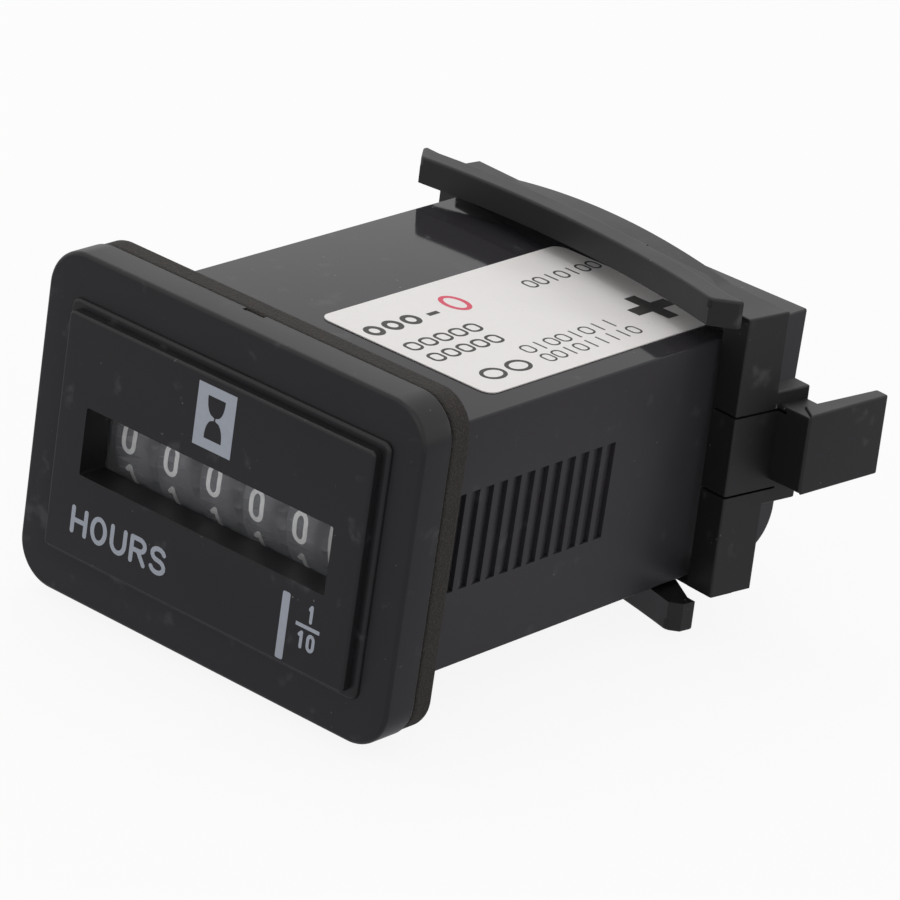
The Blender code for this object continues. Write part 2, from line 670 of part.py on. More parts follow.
def build_number_wheels():
    """Six number wheels loose on the wheel shaft, the white one for tenths on the right."""
    names = [name + "_wheel" for name in WHEEL_NAMES]
    places = [(FIRST_WHEEL_X - place * WHEEL_PITCH, *WHEEL_AXIS) for place in range(WHEEL_COUNT)]
    copies(number_wheel(), names, places, lambda name: WHEEL_WHITE if name == names[0] else WHEEL_GREY)


def build_transfer_pinions():
    """A loose pinion in each slot between two number wheels, on the pinion shaft."""
    turn = meshed_turn(0.0, GEAR_TEETH, 0.0, PINION_TEETH)
    half = (WHEEL_PITCH - DRUM_WIDTH) / 2 - FIT
    pinion = gear("transfer_gear", PINION_TEETH, GEAR_MODULE, turn, (0.0, 0.0), -half, half)
    cut(pinion, turned("pinion_bore", PINION_SHAFT_RADIUS + FIT, WHEEL_PITCH, (0.0, 0.0, 0.0), vertices=12))
    settle(pinion)
    names = ["transfer_pinion_" + str(place + 1) for place in range(WHEEL_COUNT - 1)]
    places = [(FIRST_WHEEL_X - (place + 0.5) * WHEEL_PITCH, *PINION_AXIS) for place in range(WHEEL_COUNT - 1)]
    copies(pinion, names, places, lambda name: ACETAL)


def build_arbor(name, axis, pinion, large_gear):
    """A turned arbor between bridge and side plate, with its pinion and gear as one piece."""
    start = BRIDGE_X - FIT
    end = PLATE_X + PLATE_THICKNESS
    arbor = turned("arbor_rod", ARBOR_RADIUS, end - start, ((start + end) / 2, *axis), vertices=12)
    carry(((start + end) / 2, *axis), (arbor, pinion, large_gear))
    join(arbor, large_gear, pinion)
    finish(arbor, name, ACETAL)


def build_gear_train():
    """Two reduction arbors and the rotor, each turned to mesh with the one it drives."""
    drive_start = FIRST_WHEEL_X + SIDE_GEAR_X
    drive_turn = meshed_turn(0.0, GEAR_TEETH, DRIVE_ANGLE, PINION_TEETH)
    drive_pinion = gear("drive_pinion", PINION_TEETH, GEAR_MODULE, drive_turn, DRIVE_AXIS,
                        drive_start + FIT, drive_start + SIDE_GEAR_WIDTH)
    drive_gear_end = PLATE_X - FIT
    drive_gear = gear("drive_wheel", TRAIN_TEETH, TRAIN_MODULE, drive_turn, DRIVE_AXIS,
                      drive_gear_end - TRAIN_WIDTH, drive_gear_end)
    build_arbor("drive_gear", DRIVE_AXIS, drive_pinion, drive_gear)
    second_turn = meshed_turn(drive_turn, TRAIN_TEETH, SECOND_ANGLE, PINION_TEETH)
    second_pinion = gear("second_pinion", PINION_TEETH, TRAIN_MODULE, second_turn, SECOND_AXIS,
                         drive_gear_end - TRAIN_PINION_WIDTH, drive_gear_end)
    second_start = BRIDGE_X + PLATE_THICKNESS + 2 * FIT
    second_gear = gear("second_wheel", TRAIN_TEETH, TRAIN_MODULE, second_turn, SECOND_AXIS, second_start,
                       second_start + TRAIN_WIDTH)
    build_arbor("intermediate_gear", SECOND_AXIS, second_pinion, second_gear)
    rotor_turn = meshed_turn(second_turn, TRAIN_TEETH, ROTOR_ANGLE, PINION_TEETH)
    pinion_end = second_start + TRAIN_WIDTH
    rotor_pinion = gear("rotor_pinion", PINION_TEETH, TRAIN_MODULE, rotor_turn, ROTOR_AXIS, second_start,
                        pinion_end + FIT)
    magnet_middle = STATOR_X + STATOR_THICKNESS / 2
    start = magnet_middle - MAGNET_WIDTH
    end = PLATE_X + PLATE_THICKNESS
    magnet = turned("magnet", MAGNET_RADIUS, MAGNET_WIDTH, (magnet_middle, *ROTOR_AXIS), vertices=24)
    spindle = turned("rotor_spindle", ARBOR_RADIUS, end - start, ((start + end) / 2, *ROTOR_AXIS),
                     vertices=12)
    carry((magnet_middle, *ROTOR_AXIS), (magnet, spindle, rotor_pinion))
    join(magnet, spindle, rotor_pinion)
    finish(magnet, "motor_rotor", STEEL)


def build_motor():
    """Laminated stator round the rotor, and its wound bobbin on the limb below."""
    middle_y, rotor_z = ROTOR_AXIS
    top = rotor_z + STATOR_POLE
    window_top = rotor_z - STATOR_POLE
    limb_z = window_top - STATOR_WINDOW - STATOR_LIMB / 2
    bottom = limb_z - STATOR_LIMB / 2
    outline = rounded(STATOR_LENGTH, top - bottom, PLATE_CORNER, (middle_y, (top + bottom) / 2), 3)
    rotor_hole = circle(MAGNET_RADIUS + ROTOR_AIR_GAP, ROTOR_AXIS, 24)
    window_length = STATOR_LENGTH - 2 * STATOR_LIMB
    window = rounded(window_length, STATOR_WINDOW, STATOR_THICKNESS / 2,
                     (middle_y, window_top - STATOR_WINDOW / 2), 2)
    stator = plate("lamination", [outline, rotor_hole, window], "X", STATOR_X, STATOR_X + STATOR_THICKNESS)
    finish(stator, "motor_stator", STEEL)

    centre_x = STATOR_X + STATOR_THICKNESS / 2
    half_x = STATOR_THICKNESS / 2 + FIT
    half_z = STATOR_LIMB / 2 + FIT
    half_length = window_length / 2 - FIT
    tube = block("bobbin_tube", (centre_x - half_x - BOBBIN_WALL, centre_x + half_x + BOBBIN_WALL),
                 (middle_y - half_length, middle_y + half_length),
                 (limb_z - half_z - BOBBIN_WALL, limb_z + half_z + BOBBIN_WALL))
    size = BOBBIN_FLANGE_SIZE / 2
    for place in (middle_y - half_length, middle_y + half_length - BOBBIN_FLANGE):
        flange = block("bobbin_flange", (centre_x - size, centre_x + size), (place, place + BOBBIN_FLANGE),
                       (limb_z - size, limb_z + size))
        join(tube, flange)
    bore = block("bobbin_bore", (centre_x - half_x, centre_x + half_x),
                 (middle_y - STATOR_LENGTH, middle_y + STATOR_LENGTH), (limb_z - half_z, limb_z + half_z))
    cut(tube, bore)
    finish(tube, "coil_bobbin", ACETAL)

    inner_x = half_x + BOBBIN_WALL + FIT
    inner_z = half_z + BOBBIN_WALL + FIT
    centre = (centre_x, limb_z)
    winding_outer = rounded(2 * (inner_x + COIL_DEPTH), 2 * (inner_z + COIL_DEPTH), COIL_DEPTH, centre, 3)
    winding_inner = rounded(2 * inner_x, 2 * inner_z, FIT, centre, 2)
    coil_half = half_length - BOBBIN_FLANGE - FIT
    winding = plate("winding", [winding_outer, winding_inner], "Y", middle_y - coil_half,
                    middle_y + coil_half)
    finish(winding, "coil_winding", COPPER)


def board_corners():
    """Where the board's four bosses stand."""
    xs = (BOARD_X - BOARD_WIDTH / 2 + BOSS_INSET, BOARD_X + BOARD_WIDTH / 2 - BOSS_INSET)
    ys = (BOARD_FRONT + BOSS_INSET, BOARD_FRONT + BOARD_LENGTH - BOSS_INSET)
    return [(across, along) for across in xs for along in ys]


def build_board():
    """Circuit board on the case floor, with the parts that stand on it."""
    top = BOARD_Z + BOARD_THICKNESS
    seat = top + FIT
    outline = rounded(BOARD_WIDTH, BOARD_LENGTH, BOARD_THICKNESS,
                      (BOARD_X, BOARD_FRONT + BOARD_LENGTH / 2), 2)
    board = plate("board_sheet", [outline], "Z", BOARD_Z, top)
    finish(board, "circuit_board", BOARD_GREEN)

    chip_x, chip_y = BOARD_X, BOARD_FRONT + BOARD_LENGTH * CHIP_SHARE
    chip = block("chip_body", (chip_x - CHIP_SIZE[0] / 2, chip_x + CHIP_SIZE[0] / 2),
                 (chip_y - CHIP_SIZE[1] / 2, chip_y + CHIP_SIZE[1] / 2), (seat, seat + CHIP_SIZE[2]))
    for row in (-1, 1):
        for pin in range(4):
            lead_y = chip_y + (pin - 1.5) * CHIP_LEAD_PITCH
            edge = chip_x + row * CHIP_SIZE[0] / 2
            foot = edge + row * CHIP_LEAD_REACH
            xs = sorted((edge - row * FIT, foot))
            join(chip, block("chip_lead", xs, (lead_y - LEAD_RADIUS / 2, lead_y + LEAD_RADIUS / 2),
                             (seat, seat + CHIP_SIZE[2] / 2)))
    finish(chip, "driver_chip", RESIN_BLACK)

    crystal_y = BOARD_FRONT + BOARD_LENGTH * CRYSTAL_SHARE
    crystal = turned("crystal_can", CRYSTAL_RADIUS, CRYSTAL_LENGTH,
                     (chip_x, crystal_y, seat + CRYSTAL_RADIUS), "X", 16)
    bevel(crystal, CRYSTAL_RADIUS / 4, 1)
    finish(crystal, "quartz_crystal", STEEL)

    can_y = BOARD_FRONT + BOARD_LENGTH - 2 * FIT - CAPACITOR_RADIUS
    can = turned("capacitor_can", CAPACITOR_RADIUS, CAPACITOR_HEIGHT,
                 (BOARD_X, can_y, seat + CAPACITOR_HEIGHT / 2), "Z", 24)
    bevel(can, CAPACITOR_RADIUS / 8, 2)
    finish(can, "smoothing_capacitor", RESIN_BLACK)

    side = BOARD_WIDTH / 2 - BOSS_INSET
    build_axial("dropper_resistor", RESISTOR_RADIUS, RESISTOR_LENGTH,
                (BOARD_X - side, BOARD_FRONT + BOARD_LENGTH * RESISTOR_SHARE), CERAMIC_BEIGE)
    build_axial("protection_diode", DIODE_RADIUS, DIODE_LENGTH,
                (BOARD_X + side, BOARD_FRONT + BOARD_LENGTH * DIODE_SHARE), RESIN_BLACK)


def build_axial(name, radius, length, place, look):
    """A round part that lies along Y with a lead bent down to the board at each end."""
    seat = BOARD_Z + BOARD_THICKNESS + FIT
    height = seat + radius + 2 * FIT
    body = turned(name + "_body", radius, length, (place[0], place[1], height), "Y", 16)
    bevel(body, radius / 4, 1)
    for end in (-1, 1):
        tail = place[1] + end * (length / 2 + 2 * LEAD_RADIUS)
        along = sorted((place[1], tail + end * LEAD_RADIUS))
        lead = block("lead", (place[0] - LEAD_RADIUS, place[0] + LEAD_RADIUS), along,
                     (height - LEAD_RADIUS, height + LEAD_RADIUS))
        drop = block("lead_drop", (place[0] - LEAD_RADIUS, place[0] + LEAD_RADIUS),
                     (tail - LEAD_RADIUS, tail + LEAD_RADIUS), (seat, height + LEAD_RADIUS))
        join(body, lead, drop)
    finish(body, name, look)


def crown_outline(side):
    """The low arch that thickens the clip's top or bottom wall towards the middle."""
    steps = 10
    arch = []
    for step in range(steps + 1):
        share = 1 - 2 * step / steps
        rise = (CLIP_CROWN + STEP) * (1 - share * share)
        arch.append((CLIP_CROWN_SPAN * share, CLIP_HALF_HEIGHT - STEP + rise))
    foot = CLIP_HALF_HEIGHT - 2 * STEP
    outline = [(CLIP_CROWN_SPAN, foot)] + arch + [(-CLIP_CROWN_SPAN, foot)]
    return [(across, side * up) for across, up in outline]


def bow_outline():
    """One bow spring seen from above: ends forward, middle back, a facet at each outer corner."""
    steps = 16
    front, rear = [], []
    for step in range(steps + 1):
        share = 2 * step / steps - 1
        across = share * (BOW_HALF_LENGTH - BOW_FACET)
        sag = BOW_SAG * (1 - share * share)
        front.append((across, -BOW_REACH + sag))
        rear.append((across, -BOW_REACH + sag + BOW_THICKNESS))
    right_tip = [(BOW_HALF_LENGTH, -BOW_REACH + BOW_FACET), (BOW_HALF_LENGTH, -BOW_REACH + BOW_THICKNESS)]
    left_tip = [(-across, along) for across, along in reversed(right_tip)]
    return front + right_tip + list(reversed(rear)) + left_tip


def lever_outline():
    """One finger lever seen from above, with a hollow fillet where it leaves the shoulder."""
    tip = CLIP_DEPTH + LEVER_LENGTH
    shoulder_rear = CLIP_DEPTH + ROOT_DEPTH - STEP
    inner_face = LEVER_OUT - LEVER_THICKNESS
    hub = (inner_face - LEVER_FILLET, shoulder_rear + LEVER_FILLET)
    fillet = [(hub[0] + LEVER_FILLET * sin(angle), hub[1] - LEVER_FILLET * cos(angle))
              for angle in (0.0, pi / 6, pi / 3, pi / 2)]
    outer = [(LEVER_OUT, CLIP_DEPTH + OVERRUN / 2), (LEVER_TIP_OUT, tip)]
    inner = [(LEVER_TIP_OUT - LEVER_TIP_THICKNESS, tip)] + list(reversed(fillet))
    return [(hub[0], CLIP_DEPTH + ROOT_DEPTH / 2)] + outer + inner


def shoulder_outline():
    """The block that carries a lever, seen from above."""
    inner = CLIP_INNER_HALF_WIDTH + ROOT_RELIEF + STEP
    outer = LEVER_OUT - LEVER_THICKNESS / 3
    rear = CLIP_DEPTH + ROOT_DEPTH - STEP
    return [(inner, CLIP_DEPTH + STEP), (outer, CLIP_DEPTH + STEP), (outer, rear), (inner, rear)]


def on_side(side, outline):
    """An outline drawn for the right side, or its mirror image for the left."""
    return [[(side * across, along) for across, along in outline]]


def build_clip():
    """Loose collar that slides on the ratchet sides, moulded with its bow springs, pawls and levers."""
    collar = block("collar", (-CLIP_HALF_WIDTH, CLIP_HALF_WIDTH), (0.0, CLIP_DEPTH),
                   (-CLIP_HALF_HEIGHT, CLIP_HALF_HEIGHT))
    for side in (1, -1):
        crown = plate("collar_crown", [crown_outline(side)], "Y", STEP, CLIP_DEPTH - STEP)
        join(collar, crown)
    throat = block("collar_throat", (-CLIP_INNER_HALF_WIDTH, CLIP_INNER_HALF_WIDTH),
                   (-OVERRUN, CLIP_DEPTH + OVERRUN), (-CLIP_INNER_HALF_HEIGHT, CLIP_INNER_HALF_HEIGHT))
    cut(collar, throat)
    for turn in (1, -1):
        heights = sorted((-turn * CLIP_WALL_END, -turn * 2 * CLIP_HALF_HEIGHT))
        notch_widths = sorted((turn * (CLIP_HALF_WIDTH - CLIP_CORNER_CUT), turn * 2 * CLIP_HALF_WIDTH))
        notch = block("corner_notch", notch_widths, (-OVERRUN, CLIP_DEPTH + OVERRUN), heights)
        setback_widths = sorted((turn * BOW_ROOT, turn * 2 * CLIP_HALF_WIDTH))
        setback = block("corner_setback", setback_widths, (-OVERRUN, CLIP_SETBACK), heights)
        cut(collar, notch, setback)
    for side in (1, -1):
        bow_heights = sorted((side * BOW_TOP, side * (BOW_TOP - BOW_HEIGHT)))
        bow = plate("bow_spring", [bow_outline()], "Z", *bow_heights)
        root = block("bow_root", (-BOW_ROOT, BOW_ROOT),
                     (-BOW_REACH + BOW_SAG + BOW_THICKNESS / 2, CLIP_SETBACK + STEP),
                     sorted((side * (CLIP_INNER_HALF_HEIGHT + STEP), side * (BOW_TOP - STEP))))
        join(collar, bow, root)
    for side in (1, -1):
        wall = sorted((side * (CLIP_INNER_HALF_WIDTH + ROOT_RELIEF), side * CLIP_HALF_WIDTH))
        heel = block("lever_heel", wall, (CLIP_DEPTH - OVERRUN, CLIP_DEPTH + ROOT_DEPTH),
                     (ROOT_BOTTOM, ROOT_TOP))
        shoulder = plate("lever_shoulder", on_side(side, shoulder_outline()), "Z", LEVER_BOTTOM - STEP,
                         ROOT_TOP - STEP)
        lever = plate("finger_lever", on_side(side, lever_outline()), "Z", LEVER_BOTTOM, LEVER_TOP)
        join(collar, heel, shoulder, lever)
        slit_widths = sorted((side * (CLIP_INNER_HALF_WIDTH - OVERRUN), side * (CLIP_HALF_WIDTH + OVERRUN)))
        for level in (SLIT_TOP, SLIT_BOTTOM):
            cut(collar, block("pawl_slit", slit_widths, (-OVERRUN, SLIT_LENGTH),
                              (level - SLIT_WIDTH / 2, level + SLIT_WIDTH / 2)))
    settle(collar)
    collar.location = CLIP_LOCATION
    collar.rotation_euler = (0.0, CLIP_ROLL, CLIP_YAW)
    finish(collar, "mounting_clip", MATT_BLACK)


build_bezel()
build_lens()
build_gasket()
build_case()
build_rear_cover()
build_label()
build_terminals()
build_counter_frame()
build_bridge()
build_number_wheels()
build_transfer_pinions()
build_gear_train()
build_motor()
build_board()
build_clip()
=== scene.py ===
import bpy
import json
from math import cos, hypot, pi, radians, sin, sqrt, tau
from mathutils import Matrix, Quaternion, Vector


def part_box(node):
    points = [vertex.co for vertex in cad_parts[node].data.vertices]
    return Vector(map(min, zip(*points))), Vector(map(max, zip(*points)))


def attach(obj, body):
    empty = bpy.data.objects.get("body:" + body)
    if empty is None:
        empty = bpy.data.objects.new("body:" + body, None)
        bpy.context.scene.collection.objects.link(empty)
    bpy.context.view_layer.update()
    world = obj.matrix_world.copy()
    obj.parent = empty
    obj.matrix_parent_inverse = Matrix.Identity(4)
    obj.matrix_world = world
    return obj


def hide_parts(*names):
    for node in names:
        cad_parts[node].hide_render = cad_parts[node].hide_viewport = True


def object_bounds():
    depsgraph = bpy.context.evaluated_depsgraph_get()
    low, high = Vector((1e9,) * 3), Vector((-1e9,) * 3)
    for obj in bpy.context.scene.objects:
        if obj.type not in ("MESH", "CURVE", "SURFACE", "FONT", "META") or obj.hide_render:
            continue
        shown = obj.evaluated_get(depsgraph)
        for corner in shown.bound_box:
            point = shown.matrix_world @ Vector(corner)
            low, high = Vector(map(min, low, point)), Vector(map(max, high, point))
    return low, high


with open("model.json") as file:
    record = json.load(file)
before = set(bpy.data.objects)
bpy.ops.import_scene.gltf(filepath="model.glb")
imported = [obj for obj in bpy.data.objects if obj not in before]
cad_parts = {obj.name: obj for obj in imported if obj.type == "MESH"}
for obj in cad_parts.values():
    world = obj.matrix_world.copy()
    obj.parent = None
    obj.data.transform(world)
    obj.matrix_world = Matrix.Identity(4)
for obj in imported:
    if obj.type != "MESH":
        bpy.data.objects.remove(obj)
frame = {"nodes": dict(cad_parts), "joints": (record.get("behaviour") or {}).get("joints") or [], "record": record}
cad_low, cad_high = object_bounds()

# Studio: a pale floor that the meter rests on, and a soft white surround that lights it evenly.
# The camera sees both as white. Glossy faces mirror the surround as white and the floor as pale grey.
WHITE = (1.0, 1.0, 1.0, 1.0)
SURROUND_LIGHT = 0.62
FLOOR_SIZE = 6.0
FLOOR_COLOUR = (0.90, 0.90, 0.90, 1.0)
FLOOR_ROUGHNESS = 0.9
FLOOR_GLOW = 0.90
FLOOR_REFLECTED = (0.50, 0.49, 0.52, 1.0)
FLOOR_CLEARANCE = 0.0003
LAMPS = (("overhead_softbox", (-0.25, 0.15, 0.75), 0.55, 1.4),
         ("front_softbox", (0.15, -0.85, 0.35), 0.50, 0.5))


class Wire:
    """A value between shader nodes. Sums and products of it add the maths nodes that they need."""

    def __init__(self, wiring, socket):
        self.wiring = wiring
        self.socket = socket

    def maths(self, operation, first, second):
        return self.wiring.node("ShaderNodeMath", {"operation": operation}, {0: first, 1: second})

    def __add__(self, other):
        return self.maths('ADD', self, other)

    def __mul__(self, other):
        return self.maths('MULTIPLY', self, other)

    __radd__ = __add__
    __rmul__ = __mul__


class Wiring:
    """The nodes of one material or of the surround."""

    def __init__(self, tree):
        self.nodes = tree.nodes
        self.links = tree.links

    def feed(self, socket, value):
        """Link a wire to a socket, or set a plain value on it."""
        if isinstance(value, Wire):
            self.links.new(value.socket, socket)
        else:
            socket.default_value = value

    def node(self, kind, settings=None, sockets=None, output=0):
        """Add one node, set it, feed its sockets and give back one of its outputs."""
        made = self.nodes.new(kind)
        for name, value in (settings or {}).items():
            setattr(made, name, value)
        for name, value in (sockets or {}).items():
            self.feed(made.inputs[name], value)
        return Wire(self, made.outputs[output])

    def seen(self):
        """1 on rays that show a backdrop: from the camera, off a glossy face or through a clear one."""
        path = self.nodes.new("ShaderNodeLightPath")
        camera, glossy, through = (Wire(self, path.outputs[name]) for name in
                                   ("Is Camera Ray", "Is Glossy Ray", "Is Transmission Ray"))
        return camera + glossy + through


surround = bpy.data.worlds.new("studio_surround")
bpy.context.scene.world = surround
surround.use_nodes = True
wiring = Wiring(surround.node_tree)
background = surround.node_tree.nodes["Background"]
background.inputs["Color"].default_value = WHITE
wiring.feed(background.inputs["Strength"], SURROUND_LIGHT + (1.0 - SURROUND_LIGHT) * wiring.seen())

bpy.ops.mesh.primitive_plane_add(size=FLOOR_SIZE, location=(0.0, 0.0, cad_low.z - FLOOR_CLEARANCE))
floor = bpy.context.active_object
floor.name = "studio_floor"
floor_paint = bpy.data.materials.new("pale_floor")
floor_paint.use_nodes = True
wiring = Wiring(floor_paint.node_tree)
matt = wiring.nodes["Principled BSDF"]
matt.inputs["Base Color"].default_value = FLOOR_COLOUR
matt.inputs["Roughness"].default_value = FLOOR_ROUGHNESS
matt.inputs["Specular IOR Level"].default_value = 0.0
glow = wiring.node("ShaderNodeEmission", {}, {"Color": WHITE, "Strength": 1.0})
grey = wiring.node("ShaderNodeEmission", {}, {"Color": FLOOR_REFLECTED, "Strength": 1.0})
path = wiring.nodes.new("ShaderNodeLightPath")
seen = Wire(wiring, path.outputs["Is Camera Ray"]) * FLOOR_GLOW
lit = wiring.node("ShaderNodeMixShader", {}, {0: seen, 1: Wire(wiring, matt.outputs["BSDF"]), 2: glow})
mirrored = Wire(wiring, path.outputs["Is Glossy Ray"])
mixed = wiring.node("ShaderNodeMixShader", {}, {0: mirrored, 1: lit, 2: grey})
wiring.feed(wiring.nodes["Material Output"].inputs["Surface"], mixed)
floor.data.materials.append(floor_paint)

for lamp_name, lamp_place, lamp_size, lamp_power in LAMPS:
    bpy.ops.object.light_add(type='AREA', location=lamp_place)
    lamp = bpy.context.active_object
    lamp.name = lamp_name
    lamp.data.size = lamp_size
    lamp.data.energy = lamp_power
    lamp.rotation_mode = 'QUATERNION'
    lamp.rotation_quaternion = (-Vector(lamp_place)).to_track_quat('-Z', 'Y')

# Camera: a long lens, high on the right of the front, rolled a little about its own axis. It looks at
# a point inside the case. Colours are shown as they are written.
AIM = Vector((0.00646, 0.02011, 0.00119))
CAMERA_DISTANCE = 0.4843
CAMERA_TURN = radians(37.543)
CAMERA_RISE = radians(22.960)
CAMERA_ROLL = radians(8.36)
LENS_MM = 217.55
SENSOR_MM = 36.0
NEAR_LIMIT = 0.01
FAR_LIMIT = 20.0
look = Vector((-sin(CAMERA_TURN) * cos(CAMERA_RISE), cos(CAMERA_TURN) * cos(CAMERA_RISE), -sin(CAMERA_RISE)))
bpy.ops.object.camera_add(location=AIM - look * CAMERA_DISTANCE)
camera = bpy.context.active_object
camera.rotation_mode = 'QUATERNION'
camera.rotation_quaternion = look.to_track_quat('-Z', 'Y') @ Quaternion((0.0, 0.0, 1.0), CAMERA_ROLL)
camera.data.lens = LENS_MM
camera.data.sensor_width = SENSOR_MM
camera.data.clip_start = NEAR_LIMIT
camera.data.clip_end = FAR_LIMIT
bpy.context.scene.camera = camera
bpy.context.scene.view_settings.view_transform = 'Standard'

# Bezel: the front frame, one satin black moulding. A raised panel carries the print, and a square
# tunnel runs back from it to the window sheet. Two tongues snap into the case behind.
# Pieces are drawn in millimetres and brought to the frame's metres when they are done.
MM = 0.001
THROUGH = 1.0       # how far a cutting shape runs on past the wall that it cuts
FIT_PLAY = 0.3      # room round a piece that sits in a pocket
EDGE_FACES = 6
SMOOTH_BELOW = 12.0
CORNER_FACES = 16
BEZEL_CORNER = 4.0
BEZEL_EDGE = 0.45
BEZEL_REAR_EDGE = 0.15
PANEL_WIDTH = 36.0
PANEL_HEIGHT = 22.6
PANEL_RISE = 1.38
PANEL_BACK = -1.2
PANEL_CORNER = 0.5
PANEL_EDGE = 0.30
PANEL_FOOT = 0.8
FOOT_RISE = 0.4
FOOT_BACK = -1.0
FOOT_CORNER = 0.9
FOOT_EDGE = 0.36
WINDOW_WIDTH = 29.3
WINDOW_HEIGHT = 6.45
WINDOW_Z = -0.08
WINDOW_CORNER = 0.2
TONGUE_WIDTH = 22.0
TONGUE_THICKNESS = 1.1
TONGUE_EDGE = 0.3
NOTCH_WIDTH = 2.4
NOTCH_X = -0.9
NOTCH_DEPTH = 0.3
NOTCH_LENGTH = 0.7
NOTCH_EDGE = 0.12
FLAT = 0.1          # the angle in degrees up to which faces count as one flat face
POLISHED = 0.07
DUST = (0.30, 0.29, 0.28, 1.0)
BEZEL_BLACK = (0.0112, 0.0108, 0.0122, 1.0)


def in_mm(node):
    """The lowest and highest corner of a CAD node, in millimetres."""
    low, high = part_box(node)
    return low / MM, high / MM


def alone(piece):
    """Select one piece and make it the active one."""
    for other in list(bpy.context.selected_objects):
        other.select_set(False)
    bpy.context.view_layer.objects.active = piece
    piece.select_set(True)
    return piece


def slab(name, low, high):
    """A block between two corners."""
    middle = [(a + b) / 2 for a, b in zip(low, high)]
    size = [b - a for a, b in zip(low, high)]
    bpy.ops.mesh.primitive_cube_add(size=1.0, location=middle, scale=size)
    piece = alone(bpy.context.active_object)
    bpy.ops.object.transform_apply(location=True, rotation=True, scale=True)
    piece.name = name
    return piece


def round_edges(piece, wanted, width, faces=EDGE_FACES):
    """Merge flat faces, then bevel the edges whose middle and direction meet a test."""
    alone(piece)
    bpy.ops.object.mode_set(mode='EDIT')
    bpy.ops.mesh.select_mode(type='EDGE')
    bpy.ops.mesh.select_all(action='SELECT')
    bpy.ops.mesh.dissolve_limited(angle_limit=radians(FLAT))
    bpy.ops.mesh.select_all(action='DESELECT')
    bpy.ops.object.mode_set(mode='OBJECT')
    for edge in piece.data.edges:
        start, end = (piece.data.vertices[index].co for index in edge.vertices)
        edge.select = wanted((start + end) / 2, (end - start).normalized())
    bpy.ops.object.mode_set(mode='EDIT')
    bpy.ops.mesh.bevel(offset=width, segments=faces, affect='EDGES')
    bpy.ops.object.mode_set(mode='OBJECT')
    return piece


def along(axis):
    """A test for edges that run along one axis."""
    return lambda middle, direction: abs(direction[axis]) > 0.99


def in_plane(axis, level):
    """A test for edges that lie in one plane."""
    return lambda middle, direction: abs(middle[axis] - level) < 0.001 and abs(direction[axis]) < 0.001


def unite(piece, *others, operation='UNION'):
    """Join other shapes to a piece, or apply them in another way, and use them up."""
    for other in others:
        modifier = piece.modifiers.new("with_" + other.name, 'BOOLEAN')
        modifier.object = other
        modifier.operation = operation
        modifier.solver = 'MANIFOLD'
        alone(piece)
        bpy.ops.object.modifier_apply(modifier=modifier.name)
        bpy.data.objects.remove(other, do_unlink=True)
    return piece


def cut(piece, *others):
    """Cut other shapes from a piece, and use them up."""
    return unite(piece, *others, operation='DIFFERENCE')


def seat(piece, name, finish, body, smooth=SMOOTH_BELOW):
    """Bring a drawn piece to the frame's metres, shade it, and give it its finish and its body."""
    alone(piece)
    piece.name = name
    bpy.ops.transform.resize(value=(MM, MM, MM), center_override=(0.0, 0.0, 0.0))
    bpy.ops.object.transform_apply(location=True, rotation=True, scale=True)
    bpy.ops.object.shade_smooth_by_angle(angle=radians(smooth))
    piece.data.materials.clear()
    piece.data.materials.append(finish)
    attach(piece, body)
    return piece


class Finish(Wiring):
    """One material: a Principled shader and the nodes that vary it over the surface."""

    def __init__(self, name, colour, roughness, metallic=0.0):
        self.material = bpy.data.materials.new(name)
        self.material.use_nodes = True
        super().__init__(self.material.node_tree)
        self.shader = self.nodes["Principled BSDF"]
        self.place = self.node("ShaderNodeTexCoord", output="Object")
        self.set("Base Color", colour)
        self.set("Roughness", roughness)
        self.set("Metallic", metallic)

    def set(self, name, value):
        """Give one of the shader's sockets a value or a wire."""
        self.feed(self.shader.inputs[name], value)

    def noise(self, size_mm, detail=2.0, place=None):
        """Soft cloudy values whose lumps are about a size in millimetres."""
        sockets = {"Vector": place or self.place, "Scale": 1.0 / (size_mm * MM), "Detail": detail}
        return self.node("ShaderNodeTexNoise", {}, sockets, output="Fac")

    def above(self, value, low, high):
        """0 below one level and 1 above another."""
        return self.node("ShaderNodeMapRange", {"interpolation_type": 'SMOOTHSTEP'},
                         {"Value": value, "From Min": low, "From Max": high})

    def mix(self, factor, first, second):
        """A colour between two."""
        return self.node("ShaderNodeMix", {"data_type": 'RGBA'}, {0: factor, 6: first, 7: second}, output=2)

    def relief(self, height, depth_mm):
        """Raise and sink the surface's shading by a height from 0 to 1."""
        sockets = {"Height": height, "Distance": depth_mm * MM, "Strength": 1.0}
        self.set("Normal", self.node("ShaderNodeBump", {}, sockets, output="Normal"))


